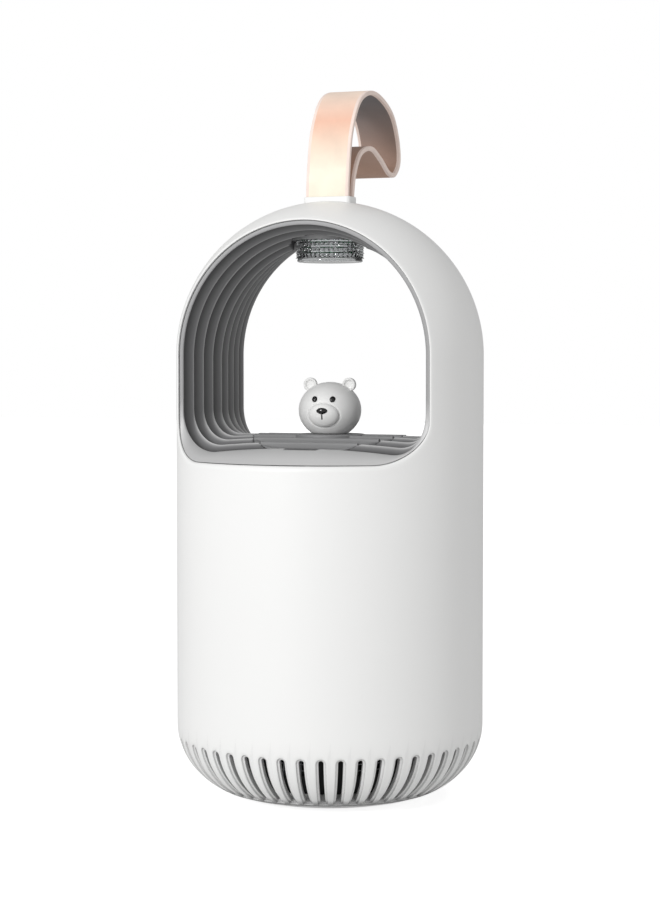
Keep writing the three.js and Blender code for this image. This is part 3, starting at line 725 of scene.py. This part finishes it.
def liner_rows(liner, body):
    """Rows of points from the front rim to the rear rim: an apron, then for each terrace a slope that closes
    in to a rounded ridge and an undercut behind it; then back along the outside. Each row also has a tone of
    painted shade and light, from 0 deep in an undercut to 1 on the apron."""
    half_count, pitch = liner.terraces // 2, liner.pitch / MM
    ridge = [(-0.35, 0.12), (-0.12, 0.0), (0.12, 0.0), (0.3, 0.16), (0.4, 0.42), (0.45, 0.8), (0.62, 0.97)]
    slope = [(0.1, 1.0), (0.25, 0.93), (0.45, 0.74), (0.65, 0.5), (0.82, 0.3), (0.93, 0.17)]
    lip = arch_outline(body.tunnel_half / MM - 0.15, body.dome_height / MM, body.tunnel_floor / MM + 0.15,
                       body.rim_corner / MM, steps=LINER_STEPS)
    front = Skin(body, 1.2).on_front(lip)
    back = front * (1, -1, 1)
    y_end = half_count * pitch + 0.35

    def at(section, y):
        return np.stack([section[:, 0], np.full(len(section), y), section[:, 1]], -1)

    first, last = (at(ridge_section(liner, body, 1.0, 0.12), y) for y in (-y_end, y_end))
    apron = (0.12, 0.35, 0.65, 0.9)
    rows = [front + (0, 0.8, 0), front] + [front * (1 - s) + first * s for s in apron]
    tones = [1.0] * 4 + [0.95, 0.9]
    for i in range(-half_count, half_count + 1):
        reach = abs(i) / half_count
        behind = [step for step in ridge if i < half_count or step[0] < 0.2]
        rows += [at(ridge_section(liner, body, reach, out), i * pitch + ahead) for ahead, out in behind]
        tones += [0.72 * (1 - out) for ahead, out in behind]
        if i < half_count:
            next_reach = abs(i + 1) / half_count
            for s, out in slope:
                section = (ridge_section(liner, body, reach, out) * (1 - s)
                           + ridge_section(liner, body, next_reach, out) * s)
                rows.append(at(section, i * pitch + 0.62 + (pitch - 0.97) * s))
                tones.append(0.62 * s ** 1.6)
    rows += [back * (1 - s) + last * s for s in apron[::-1]] + [back, back - (0, 0.8, 0)]
    outside = arch_outline(body.tunnel_half / MM - 0.1, body.dome_height / MM, 129.2, body.rim_corner / MM,
                           steps=LINER_STEPS)
    depth = 0.98 * Skin(body, body.wall / MM + 0.4).depth(outside)
    for y in (-depth, depth):
        rows.append(np.stack([outside[:, 0], y, outside[:, 1]], -1))
    tones += [0.9, 0.95] + [1.0] * 4 + [0.5, 0.5]
    # Painted light and shade: the apron darkens up the arch, and the terraces lighten on the floor.
    low = np.clip((155 - lip[:, 1]) / 15, 0, 1)
    tones = np.array(tones)[:, None] * np.ones(len(lip))
    floor = np.clip((146 - lip[:, 1]) / 6, 0, 1)
    tones = np.where(tones > 0.75, tones * (0.7 + 0.3 * low), tones + (0.3 * floor * tones))
    return np.stack(rows), tones.reshape(-1)


def circle(radius, columns=96):
    """A circle about the origin, evenly divided."""
    angle = np.linspace(0, 2 * math.pi, columns, endpoint=False)
    return np.stack([radius * np.cos(angle), radius * np.sin(angle)], -1)


def round_hole(low, high, radius):
    """A cutter: an upright cylinder on the axis."""
    return stacked([(circle(radius), z) for z in (low, high)])


def rear_hole(outline, height):
    """A cutter: an outline in X and Z about a height, carried out through the rear wall."""
    rows = [np.column_stack([outline[:, 0], np.full(len(outline), y), outline[:, 1] + height])
            for y in (50, 66)]
    return capped(np.stack(rows))


def bored(piece, cutters, sharp=50.0):
    """Takes closed cutters, given in millimetres, out of a closed piece."""
    for points, faces in cutters:
        mesh = bpy.data.meshes.new("cutter")
        mesh.from_pydata((points * MM).tolist(), [], faces.tolist())
        shape = bmesh.new()
        shape.from_mesh(mesh)
        bmesh.ops.remove_doubles(shape, verts=shape.verts, dist=1e-7)
        bmesh.ops.recalc_face_normals(shape, faces=shape.faces)
        shape.to_mesh(mesh)
        shape.free()
        cutter = bpy.data.objects.new("cutter", mesh)
        bpy.context.scene.collection.objects.link(cutter)
        tool = piece.modifiers.new("bore", "BOOLEAN")
        tool.operation, tool.object, tool.solver = "DIFFERENCE", cutter, "EXACT"
        bpy.context.view_layer.update()
        made = bpy.data.meshes.new_from_object(piece.evaluated_get(bpy.context.evaluated_depsgraph_get()))
        piece.modifiers.clear()
        old, piece.data = piece.data, made
        bpy.data.meshes.remove(old)
        bpy.data.objects.remove(cutter)
        bpy.data.meshes.remove(mesh)
        made.polygons.foreach_set("use_smooth", np.ones(len(made.polygons), dtype=bool))
        made.set_sharp_from_angle(angle=math.radians(sharp))
        made.name = piece.name
    return piece


# ---- strap ---------------------------------------------------------------------------------------------
BAR_TURN = [(2.5 * math.cos(a), 226.05 + 2.5 * math.sin(a)) for a in np.radians([-30, -65, -90, -115, -150])]
STRAP_LINE = BAR_TURN + [
    (-2.5, 226.5), (-2.5, 233.5), (-1.5, 244), (1.9, 259.5), (11, 272.4), (24, 276.9), (38.5, 274.9),
    (49.6, 269.3), (56.1, 259), (56.6, 251.4), (51, 246.4), (44.6, 246.7), (35, 251.3), (24, 254.8),
    (11.6, 251.6), (5.2, 243.6), (2.7, 234.6), (2.5, 226.5)]


def rounded_rectangle(half_x, half_y, corner, per_corner=5, per_x=9, per_y=5):
    """Closed outline in X and Y: straight sides and quarter-circle corners, each evenly divided."""
    x, y = half_x - corner, half_y - corner
    points = []
    for k, (sx, sy) in enumerate(((1, 1), (-1, 1), (-1, -1), (1, -1))):
        a = np.linspace(0, math.pi / 2, per_corner) + k * math.pi / 2
        points.append(np.stack([sx * x + corner * np.cos(a), sy * y + corner * np.sin(a)], -1))
        count = per_x if k % 2 == 0 else per_y
        run = np.linspace(1, -1, count + 2)[1:-1, None]
        first, last = ((x, half_y), (-x, half_y)) if k % 2 == 0 else ((-half_x, y), (-half_x, -y))
        first, last = (np.array(first), np.array(last)) if k < 2 else (-np.array(first), -np.array(last))
        points.append((first + last) / 2 + (first - last) / 2 * run)
    return np.concatenate(points)


def strap_band(width, thickness, edge):
    """A rounded-rectangle section carried along the closed middle line, across its tangent, and for each
    point its side: 0 grain, 0.5 edge, 1 flesh. From the rear curl to the rear leg the grain face is also given
    1, so it takes the flesh side's darker colour as a painted shade under the hump."""
    line = closed_spline(STRAP_LINE, 12)
    tangent = np.roll(line, -1, axis=0) - np.roll(line, 1, axis=0)
    tangent /= np.linalg.norm(tangent, axis=1)[:, None]
    outward = np.stack([-tangent[:, 1], tangent[:, 0]], -1)[:, None, :]
    section = rounded_rectangle(width / 2, thickness / 2, edge, per_corner=4, per_x=9, per_y=2)
    points = np.empty((len(line), len(section), 3))
    points[..., 0] = section[:, 0]
    points[..., 1:] = line[:, None, :] + section[:, 1:] * outward
    face = np.abs(section[:, 0]) < width / 2 - edge * 1.01
    side = np.where(face, np.where(section[:, 1] > 0, 0.0, 1.0), 0.5)
    side = np.broadcast_to(side, points.shape[:2]).copy()
    # Painted shade: on the stretch from the rear curl to the rear leg the grain face takes the flesh colour.
    returning = (np.arange(len(line)) > 14.6 * 12)[:, None] & face
    side[returning] = 1.0
    return patch(points, wrap_rows=True, wrap_columns=True), side.reshape(-1)


def stacked(loops, first=True, last=True):
    """Outlines in X and Y, each at its height, joined and closed at the ends."""
    rows = [np.column_stack([loop, np.full(len(loop), z)]) for loop, z in loops]
    return capped(np.stack(rows), first, last)


def plate_body():
    """A block with rounded corners, a softened top edge and a shallow pocket round the strap's two legs."""
    low, high = np.array(PLATE_LOW) / MM, np.array(PLATE_HIGH) / MM
    half_x, half_y, top = high[0], high[1], high[2]

    def loop(inset, corner=1.4):
        return rounded_rectangle(half_x - inset, half_y - inset, max(corner - inset, 0.3))

    pocket_x, pocket_y = STRAP_HIGH[0] / MM + 0.2, 3.65
    pocket = [(rounded_rectangle(pocket_x + grow, pocket_y + grow, 0.5), z)
              for grow, z in ((0.1, top), (0.0, top - 0.12), (0.0, top - 1.6))]
    return stacked([(loop(0), low[2]), (loop(0), top - 0.5), (loop(0.06), top - 0.22), (loop(0.22), top - 0.06),
                    (loop(0.4), top)] + pocket)


# ---- lamp ----------------------------------------------------------------------------------------------
def lens_cup():
    """A clear cup: flat prisms round the wall in staggered tiers, a flange over each tier and a rounded lip
    at the foot. The wall's radius rises with the cosine of 44 times the angle and falls to the tier's edges."""
    low, high = LENS_LOW[2] / MM, LENS_HIGH[2] / MM
    columns, tiers, foot = 352, 4, low + 1.5
    angle = np.linspace(0, 2 * math.pi, columns, endpoint=False)
    heights = np.linspace(foot, high, tiers * 8 + 1)
    tier = (heights - foot) / (high - foot) * tiers
    swell = np.sin(math.pi * (tier % 1.0)) ** 2
    prism = np.abs(np.cos(22 * angle))
    radius = 12.55 + 0.85 * (1 - swell)[:, None] ** 3 + 0.6 * swell[:, None] * prism
    lip = [(11.6, low), (12.3, low + 0.05), (12.75, low + 0.35), (12.75, low + 0.9), (12.5, low + 1.3)]
    rows = [np.stack([r * np.cos(angle), r * np.sin(angle), np.full(columns, z)], -1) for r, z in lip]
    rows += [np.stack([r * np.cos(angle), r * np.sin(angle), np.full(columns, z)], -1)
             for r, z in zip(radius, heights)]
    inner = [(11.3, high), (11.3, low + 2.2), (11.0, low + 1.7), (10.4, low + 1.5)]
    rows += [np.stack([r * np.cos(angle), r * np.sin(angle), np.full(columns, z)], -1) for r, z in inner]
    return capped(np.stack(rows))


# ---- bear ----------------------------------------------------------------------------------------------
HEAD_SEMI = np.array([12.3, 11.6, 11.0])
HEAD_CENTRE = np.array([0.0, 0.0, 151.3])
HEAD_TURN = math.radians(7)
HEAD_FLOOR = 142.2
MUZZLE_SEMI, MUZZLE_Z = np.array([6.25, 4.75]), 149.6


def head_turned(points):
    """Turns points about the head's upright axis, a few degrees to the right."""
    c, s = math.cos(HEAD_TURN), math.sin(HEAD_TURN)
    x, y, z = points[..., 0], points[..., 1], points[..., 2]
    return np.stack([x * c - y * s, x * s + y * c, z], -1)


def on_head(x, z, lift=0.0):
    """The front of the head over a point in X and Z, lifted along its normal."""
    u = x / HEAD_SEMI[0]
    v = (z - HEAD_CENTRE[2]) / HEAD_SEMI[2]
    unit = np.stack([u, -np.sqrt(np.maximum(1 - u ** 2 - v ** 2, 0)), v], -1)
    normal = unit / HEAD_SEMI
    normal /= np.linalg.norm(normal, axis=-1, keepdims=True)
    return HEAD_CENTRE + unit * HEAD_SEMI + normal * np.asarray(lift)[..., None], unit


def skull(columns=160):
    """An ellipsoid drawn in rings about its muzzle. Inside the muzzle the rings are ellipses lifted by a
    bump that falls as the root of 1 - u squared; at its edge is a groove; outside it each ring's points go
    on along great circles to the back of the head. Below the floor it is cut flat."""
    a = np.linspace(0, 2 * math.pi, columns, endpoint=False)
    rows = []
    for u, lift in [(0.0, 1.5), (0.15, 1.49), (0.3, 1.45), (0.45, 1.36), (0.6, 1.22), (0.72, 1.04), (0.82, 0.82),
                    (0.9, 0.56), (0.95, 0.26), (0.98, -0.12), (1.0, -0.34), (1.025, -0.34), (1.05, -0.16),
                    (1.08, -0.03), (1.13, 0.0)]:
        x = u * MUZZLE_SEMI[0] * np.cos(a)
        z = MUZZLE_Z + u * MUZZLE_SEMI[1] * np.sin(a)
        points, unit = on_head(x, z, np.full(columns, lift))
        rows.append(points)
    back = np.array([0.0, 1.0, 0.0])
    reach = np.arccos(np.clip(unit @ back, -1, 1))[:, None]
    for t in np.linspace(0, 1, 44)[1:]:
        blend = (np.sin((1 - t) * reach) * unit + np.sin(t * reach) * back) / np.sin(reach)
        rows.append(HEAD_CENTRE + blend * HEAD_SEMI)
    rows = np.stack(rows)
    rows[..., 2] = np.maximum(rows[..., 2], HEAD_FLOOR)
    return head_turned(rows)


def ear(side):
    """A round ear with a hollow front, turned about its own front-to-back axis and sunk into the head."""
    profile = rounded_profile([(0, -0.45, 0), (1.55, -0.55, 0.5), (1.85, -1.25, 0.35), (2.65, -1.25, 0.5),
                               (2.65, 1.2, 0.9), (0, 1.2, 0)], steps=7)
    points, faces = turned(profile, 72, (side * 7.8, 161.3), axis="y")
    return head_turned(points), faces


def dome_on_head(x, z, half_x, half_z, height, point=0.0, columns=48, rings=9):
    """A domed button on the face: rings from its rim, sunk a little, to its crown; point draws the foot
    of the outline down to a blunt tip."""
    a = np.linspace(0, 2 * math.pi, columns, endpoint=False)
    rows = []
    for t in np.linspace(0, math.pi / 2, rings):
        dx = half_x * math.cos(t) * np.cos(a) * (1 - point * np.clip(-np.sin(a), 0, 1) ** 2)
        dz = half_z * math.cos(t) * np.sin(a)
        rows.append((dx, dz, height * math.sin(t)))
    rows.insert(0, (rows[0][0], rows[0][1], -0.6))
    base = MUZZLE_LIFT if point else 0.0
    grid = np.stack([on_head(x + dx, z + dz, np.full(columns, base + lift))[0] for dx, dz, lift in rows])
    points, faces = capped(grid)
    return head_turned(points), faces


def mouth_line():
    """A short line, round in section, from the nose down the middle of the muzzle."""
    z = np.linspace(150.4, 148.2, 12)
    middle, _ = on_head(np.zeros(12), z, np.full(12, MUZZLE_LIFT + 0.02))
    a = np.linspace(0, 2 * math.pi, 12, endpoint=False)
    size = 0.32 * np.sqrt(np.clip(1 - np.linspace(-1, 1, 12) ** 6, 0.02, 1))[:, None]
    rows = np.stack([middle[:, :1] + size * np.cos(a), middle[:, 1:2] + size * np.sin(a) * 0.8,
                     np.broadcast_to(middle[:, 2:], (12, 12))], -1)
    points, faces = capped(rows)
    return head_turned(points), faces


# ---- grille --------------------------------------------------------------------------------------------
def floor_height(y, span):
    """Height of the tunnel's floor along its middle: it falls with the 2.2th power of the distance out."""
    return FLOOR_TOP - FLOOR_FALL * np.clip(np.abs(y) / span, 0, 1) ** FLOOR_POWER


def grille_patches(pitch, count):
    """A ring that follows the tunnel's floor, a hub and straight bars with rounded tops, in line with the
    terraces."""
    span = count * pitch
    angle = np.linspace(0, 2 * math.pi, 160, endpoint=False)
    top = floor_height((WELL_R - 1.2) * np.sin(angle), span)
    outer = WELL_R - 0.12
    profile = [(outer - 2.2, -3.4), (outer - 2.2, -1.6), (outer - 2.05, -1.3), (outer - 1.7, -1.1),
               (outer - 0.5, -1.1), (outer - 0.15, -1.3), (outer, -1.6), (outer, -3.4)]
    ring = np.stack([np.stack([r * np.cos(angle), r * np.sin(angle), top + dz], -1) for r, dz in profile])
    hub = rounded_profile([(0, 138.4, 0), (13.8, 138.4, 0.3), (13.8, 142, 0.6), (0, 142, 0)])
    patches = [patch(ring, wrap_rows=True, wrap_columns=True), turned(hub, 120)]
    for i in range(1 - count, count):
        y, half = i * pitch, math.sqrt((WELL_R - 0.1) ** 2 - (abs(i) * pitch + 0.8) ** 2)
        height = float(floor_height(y, span)) - 0.02
        section = rounded_rectangle(0.8, 1.5, 0.7, per_corner=6, per_x=1, per_y=2)
        rows = np.stack([np.column_stack([np.full(len(section), x), y + section[:, 0],
                                          section[:, 1] + height - 1.5]) for x in np.linspace(-half, half, 13)])
        patches.append(capped(rows))
    return patches


# ---- button, tray and base -----------------------------------------------------------------------------
def button_patches():
    """A round key with a dished face, on an axis from front to back, and its flange inside the wall."""
    profile = rounded_profile([(0, 54.7, 0), (6.9, 54.7, 0.3), (6.9, 56.1, 0.3), (5.95, 56.1, 0.1),
                               (5.95, 59.8, 0.5), (4.6, 59.8, 0.8), (0, 59.45, 0)])
    return [turned(profile, 96, (0, 62), axis="y")]


def windowed_cup(radius, low, high, wall, windows, window_low, window_high, window_half):
    """A cup whose wall has windows with rounded corners: the wall's patches, the profiles of its top edge,
    foot and floor, and the columns that those rings need. Each share of the wall runs from a rectangle to
    the window's outline, through the wall, and back to the rectangle inside."""
    pitch, across = 2 * math.pi / windows, 9
    middle = (window_low + window_high) / 2
    hole = rounded_rectangle(window_half, (window_high - window_low) / 2, 2.0, 6, across, 9) / (radius, 1)
    edge_z = 3.0
    border = rounded_rectangle(pitch / 2, (high - low) / 2 - edge_z, 1e-6, 6, across, 9)
    border_middle = (high + low) / 2

    def ring(flat, centre, r):
        return np.stack([r * np.sin(flat[:, 0]), -r * np.cos(flat[:, 0]), flat[:, 1] + centre], -1)

    patches = []
    for k in range(windows):
        outer = [ring(border * (1 - s) + hole * s, border_middle * (1 - s) + middle * s, radius)
                 for s in (0, 0.5, 1)]
        inner = [ring(border * (1 - s) + hole * s, border_middle * (1 - s) + middle * s, radius - wall)
                 for s in (1, 0.5, 0)]
        turn = k * pitch
        c, s = math.cos(turn), math.sin(turn)
        points = np.stack(outer + inner) @ np.array([[c, s, 0], [-s, c, 0], [0, 0, 1]])
        patches.append(patch(points, wrap_columns=True))
    top = [(radius, high - edge_z), (radius, high - 0.3), (radius - 0.3, high), (radius - wall + 0.3, high),
           (radius - wall, high - 0.3), (radius - wall, high - edge_z)]
    foot = [(radius, low + edge_z), (radius, low + 0.8), (radius - 0.8, low), (0, low)]
    floor = [(0, low + wall), (radius - wall - 0.8, low + wall), (radius - wall, low + wall + 0.8),
             (radius - wall, low + edge_z)]
    return patches, top, foot, floor, windows * (across + 1)


def mesh_wires(radius, low, high, pitch, wire):
    """Upright wires and hoops of square section, a wire's width apart in radius as a weave would have them."""
    patches = []
    corner = np.array([(-1, -1), (1, -1), (1, 1), (-1, 1)]) * wire / 2
    count = int(2 * math.pi * radius / pitch)
    for k in range(count):
        a = 2 * math.pi * k / count
        out, along = np.array([math.sin(a), -math.cos(a)]), np.array([math.cos(a), math.sin(a)])
        ends = [np.column_stack([(radius + corner[:, :1]) * out + corner[:, 1:] * along, np.full(4, z)])
                for z in (low, high)]
        patches.append(capped(np.stack(ends)))
    angle = np.linspace(0, 2 * math.pi, 120, endpoint=False)
    for z in np.arange(low + pitch / 2, high, pitch):
        hoop = np.stack([np.column_stack([(radius - wire * 0.7 + r) * np.sin(angle),
                                          -(radius - wire * 0.7 + r) * np.cos(angle), np.full(120, z + dz)])
                         for r, dz in corner])
        patches.append(patch(hoop, wrap_rows=True, wrap_columns=True))
    return patches


def cover_patch():
    """The base cover: a dish with a rounded edge, a seat for the foot ring and a finger grip in its middle.
    The grip's outline is a superellipse of the sixth power."""
    a = np.linspace(0, 2 * math.pi, 144, endpoint=False)
    grip = ((np.abs(np.cos(a)) / 9) ** 6 + (np.abs(np.sin(a)) / 4) ** 6) ** (-1 / 6)
    rows = [(grip, 2.6), (grip, 0.75), (grip + 0.1, 0.5), (grip + 0.35, 0.4)]
    rows += [(np.full_like(a, r), z) for r, z in (
        (16.9, 0.4), (17.0, 0.5), (17.0, 1.9), (25.0, 1.9), (25.0, 0.5), (25.2, 0.42), (26.0, 0.45), (30, 0.62),
        (34, 1.22), (38, 2.2), (40.2, 2.9), (40.9, 3.2), (41.35, 3.7), (41.3, 4.2), (40.8, 5.2), (40.65, 5.5),
        (40.6, 7.3), (40.4, 7.6), (39.3, 7.6), (39.0, 7.3), (39.0, 4.6), (3, 4.6))]
    return capped(np.stack([np.stack([r * np.cos(a), r * np.sin(a), np.full_like(a, z)], -1) for r, z in rows]))


def foot_pad():
    """A flat rubber ring with rounded edges."""
    profile = rounded_profile([(21, 1.6, 0), (17.3, 1.6, 0.3), (17.3, 0.0, 0.5), (24.7, 0.0, 0.5),
                               (24.7, 1.6, 0.3), (21, 1.6, 0)])
    return turned(profile, 144)


# ---- operators -----------------------------------------------------------------------------------------
class LAMP_OT_shell(bpy.types.Operator):
    """Makes the one-piece outer shell: dome, body, tunnel rim and slotted foot"""
    bl_idname = "lamp.shell"
    bl_label = "Shell"

    def execute(self, context):
        sizes = context.scene.lamp_body
        patches = upper_shell(sizes) + plain_rings(sizes) + slotted_foot(sizes)
        piece = make_piece("shell_moulding", patches, finish("slotted_abs"), stands_for=["outer_shell"],
                           sharp=50, weld=2e-5)
        bored(piece, [rear_hole(circle(6.3), 62), rear_hole(rounded_rectangle(4.9, 2.0, 1.2), 42)])
        return {"FINISHED"}


class LAMP_OT_liner(bpy.types.Operator):
    """Makes the terraced lining of the tunnel, bored for the grille and the lamp"""
    bl_idname = "lamp.liner"
    bl_label = "Tunnel liner"

    def execute(self, context):
        rows, tones = liner_rows(context.scene.lamp_liner, context.scene.lamp_body)
        piece = make_piece("liner_moulding", [patch(rows, wrap_rows=True, wrap_columns=True)],
                           finish("terraced_abs"), stands_for=["tunnel_liner"], sharp=50)
        # The tone attribute carries the painted shade and light on the terraces.
        piece.data.attributes.new("tone", "FLOAT", "POINT").data.foreach_set("value", tones)
        bored(piece, [round_hole(120, 150, WELL_R), round_hole(205, 230, 15.2)])
        return {"FINISHED"}


class LAMP_OT_strap(bpy.types.Operator):
    """Makes the leather carry strap and the plate that holds its legs"""
    bl_idname = "lamp.strap"
    bl_label = "Strap and plate"

    def execute(self, context):
        band, side = strap_band(2 * STRAP_HIGH[0] / MM, 1.8, 0.4)
        strap = make_piece("strap_band", [band], finish("strap_leather"), stands_for=["carry_strap"],
                           sharp=60)
        # The side attribute also carries the painted shade under the strap's hump.
        strap.data.attributes.new("side", "FLOAT", "POINT").data.foreach_set("value", side)
        make_piece("strap_boss", [plate_body()], finish("white_abs"), stands_for=["strap_plate"])
        return {"FINISHED"}


class LAMP_OT_lamp(bpy.types.Operator):
    """Makes the clear prismatic cup under the lamp"""
    bl_idname = "lamp.lamp"
    bl_label = "Lamp lens"

    def execute(self, context):
        make_piece("lens_cup", [lens_cup()], finish("clear_lens"), stands_for=["lamp_lens"],
                   sharp=40)
        return {"FINISHED"}


class LAMP_OT_bear(bpy.types.Operator):
    """Makes the bear's head with its ears, eyes, nose and mouth"""
    bl_idname = "lamp.bear"
    bl_label = "Bear head"

    def execute(self, context):
        make_piece("head_moulding", [patch(skull(), wrap_columns=True), ear(-1), ear(1)], finish("head_abs"),
                   stands_for=["bear_head"], sharp=60)
        for name, sign in (("left", -1), ("right", 1)):
            make_piece("eye_" + name, [dome_on_head(sign * 3.55, 155.7, 1.1, 1.15, 0.7)], finish("black_gloss"),
                       stands_for=["bear_eye_" + name])
        make_piece("nose_and_mouth", [dome_on_head(0, 151.2, 2.0, 1.15, 0.75, point=0.55), mouth_line()],
                   finish("black_gloss"), stands_for=["bear_nose"])
        return {"FINISHED"}


class LAMP_OT_grille(bpy.types.Operator):
    """Makes the intake grille in the tunnel's floor"""
    bl_idname = "lamp.grille"
    bl_label = "Intake grille"

    def execute(self, context):
        liner = context.scene.lamp_liner
        patches = grille_patches(liner.pitch / MM, liner.terraces // 2)
        make_piece("grille_moulding", patches, finish("grey_abs"), stands_for=["intake_grille"])
        return {"FINISHED"}


class LAMP_OT_base(bpy.types.Operator):
    """Makes the rear button, the catch tray with its mesh, the base cover and the rubber foot ring"""
    bl_idname = "lamp.base"
    bl_label = "Button, tray and base"

    def execute(self, context):
        make_piece("rear_key", button_patches(), finish("white_abs"), "button", ["power_button"])
        walls, top, foot, floor, columns = windowed_cup(38.5, 5.0, 79.4, 1.6, 8, 14, 60, 9.5)
        rings = [turned(profile, columns) for profile in (top, foot, floor)]
        make_piece("tray_cup", walls + rings, finish("black_abs"), "tray", ["catch_tray", "tray_floor"])
        wires = mesh_wires(36.3, 7.2, 78.0, 2.4, 0.34)
        make_piece("mesh_sleeve", wires, finish("mesh_steel"), "tray", ["tray_mesh"], sharp=30)
        make_piece("cover_dish", [cover_patch()], finish("white_abs"), "tray", ["base_cover"])
        make_piece("foot_pad", [foot_pad()], finish("foot_rubber"), "tray", ["foot_ring"])
        return {"FINISHED"}


class LAMP_OT_fittings(bpy.types.Operator):
    """Gives the pieces that stay as CAD made them their real finishes"""
    bl_idname = "lamp.fittings"
    bl_label = "Fittings"

    def execute(self, context):
        slots = {part["node"]: part["material_slot"] for part in frame["record"]["subparts"]}
        for name, node in frame["nodes"].items():
            key = SLOT_FINISH.get(slots[name], slots[name])
            for place in node.material_slots:
                place.material = finish(key)
        return {"FINISHED"}


class LAMP_OT_stage(bpy.types.Operator):
    """Sets the floor, the lights and the camera"""
    bl_idname = "lamp.stage"
    bl_label = "Stage"

    def execute(self, context):
        add_floor()
        add_lights()
        add_camera()
        return {"FINISHED"}


def add_floor():
    reach = 4.0
    mesh = bpy.data.meshes.new("floor")
    mesh.from_pydata([(-reach, -reach, 0), (reach, -reach, 0), (reach, reach, 0), (-reach, reach, 0)], [],
                     [(0, 1, 2, 3)])
    material, tree, shader = new_material("Studio floor, matt white")
    shader.inputs["Base Color"].default_value = linear("#D8D8D8")
    shader.inputs["Roughness"].default_value = 0.9
    shader.inputs["Emission Color"].default_value = linear("#FFFFFF")
    seen = add_node(tree, "ShaderNodeLightPath").outputs["Is Camera Ray"]
    glow = add_node(tree, "ShaderNodeMapRange", {"Value": seen, "To Min": 0.1, "To Max": 0.78})
    tree.links.new(glow.outputs["Result"], shader.inputs["Emission Strength"])
    mesh.materials.append(material)
    floor = bpy.data.objects.new("floor", mesh)
    bpy.context.scene.collection.objects.link(floor)


def area_light(name, azimuth, elevation, distance, size, watts):
    """A square soft box at an azimuth from the front (positive to the right), aimed at the body's middle."""
    lamp = bpy.data.lights.new(name, "AREA")
    lamp.shape, lamp.size, lamp.energy = "SQUARE", size, watts
    a, e = math.radians(azimuth), math.radians(elevation)
    place = np.array([math.sin(a) * math.cos(e), -math.cos(a) * math.cos(e), math.sin(e)]) * distance
    place[2] += 0.13
    light = bpy.data.objects.new(name, lamp)
    light.location = place
    light.rotation_euler = (math.pi / 2 - e, 0, a)
    bpy.context.scene.collection.objects.link(light)


def add_lights():
    scene = bpy.context.scene
    world = bpy.data.worlds.new("studio")
    scene.world = world
    world.use_nodes = True
    tree = world.node_tree
    tree.nodes.clear()
    seen = add_node(tree, "ShaderNodeBackground", {"Color": (1, 1, 1, 1), "Strength": 1.0})
    way = add_node(tree, "ShaderNodeTexCoord").outputs["Generated"]
    turn = add_node(tree, "ShaderNodeVectorRotate", {"Vector": way, "Angle": -VIEW_TURN}, rotation_type="Z_AXIS")
    toward = add_node(tree, "ShaderNodeVectorMath", {0: turn.outputs["Vector"], 1: (-0.14, -0.94, 0.3)},
                      operation="DOT_PRODUCT")
    level = add_node(tree, "ShaderNodeMapRange", {
        "Value": toward.outputs["Value"], "From Min": -1.0, "From Max": 1.0, "To Min": 0.44, "To Max": 0.72})
    fill = add_node(tree, "ShaderNodeBackground", {"Color": (1, 1, 1, 1), "Strength": level.outputs["Result"]})
    path = add_node(tree, "ShaderNodeLightPath")
    both = add_node(tree, "ShaderNodeMixShader", {
        "Fac": path.outputs["Is Camera Ray"], 1: fill.outputs[0], 2: seen.outputs[0]})
    add_node(tree, "ShaderNodeOutputWorld", {"Surface": both.outputs[0]})
    area_light("key", -14, 20, 1.6, 0.35, 10.4)
    scene.view_settings.view_transform = "Standard"


def add_camera():
    """The viewpoint: 856 mm from the axis, 176 mm up, 21.3 degrees to the right of the front."""
    distance, height, pitch = 0.8563, 0.1757, math.radians(2.68)
    camera = bpy.data.cameras.new("camera")
    camera.lens, camera.sensor_width, camera.clip_start = 87.5, 36.0, 0.01
    placed = bpy.data.objects.new("camera", camera)
    placed.location = (distance * math.sin(VIEW_TURN), -distance * math.cos(VIEW_TURN), height)
    placed.rotation_euler = (math.pi / 2 - pitch, 0, VIEW_TURN)
    bpy.context.scene.collection.objects.link(placed)
    bpy.context.scene.camera = placed


class LAMP_PT_panel(bpy.types.Panel):
    """Lists the lamp's sizes and the operators that make its pieces"""
    bl_idname = "LAMP_PT_panel"
    bl_label = "Insect lamp"
    bl_space_type = "VIEW_3D"
    bl_region_type = "UI"
    bl_category = "Lamp"

    def draw(self, context):
        for group in (context.scene.lamp_body, context.scene.lamp_liner, context.scene.lamp_colours):
            box = self.layout.box()
            for name in group.bl_rna.properties.keys():
                if name not in ("rna_type", "name"):
                    box.prop(group, name)
        for kind in STEPS:
            self.layout.operator(kind.bl_idname, text=kind.bl_label)


STEPS = (LAMP_OT_stage, LAMP_OT_shell, LAMP_OT_liner, LAMP_OT_strap, LAMP_OT_lamp, LAMP_OT_bear, LAMP_OT_grille,
         LAMP_OT_base, LAMP_OT_fittings)
CLASSES = (LampBodySizes, LampLinerSizes, LampColours, LAMP_OT_stage, LAMP_OT_shell, LAMP_OT_liner,
           LAMP_OT_strap, LAMP_OT_lamp, LAMP_OT_bear, LAMP_OT_grille, LAMP_OT_base, LAMP_OT_fittings,
           LAMP_PT_panel)


def register():
    for kind in CLASSES:
        bpy.utils.register_class(kind)
    bpy.types.Scene.lamp_body = PointerProperty(type=LampBodySizes)
    bpy.types.Scene.lamp_liner = PointerProperty(type=LampLinerSizes)
    bpy.types.Scene.lamp_colours = PointerProperty(type=LampColours)


def unregister():
    del bpy.types.Scene.lamp_colours
    del bpy.types.Scene.lamp_liner
    del bpy.types.Scene.lamp_body
    for kind in reversed(CLASSES):
        bpy.utils.unregister_class(kind)


def main():
    register()
    bpy.ops.lamp.stage()
    bpy.ops.lamp.shell()
    bpy.ops.lamp.liner()
    bpy.ops.lamp.strap()
    bpy.ops.lamp.lamp()
    bpy.ops.lamp.bear()
    bpy.ops.lamp.grille()
    bpy.ops.lamp.base()
    bpy.ops.lamp.fittings()


if __name__ == "__main__":
    main()
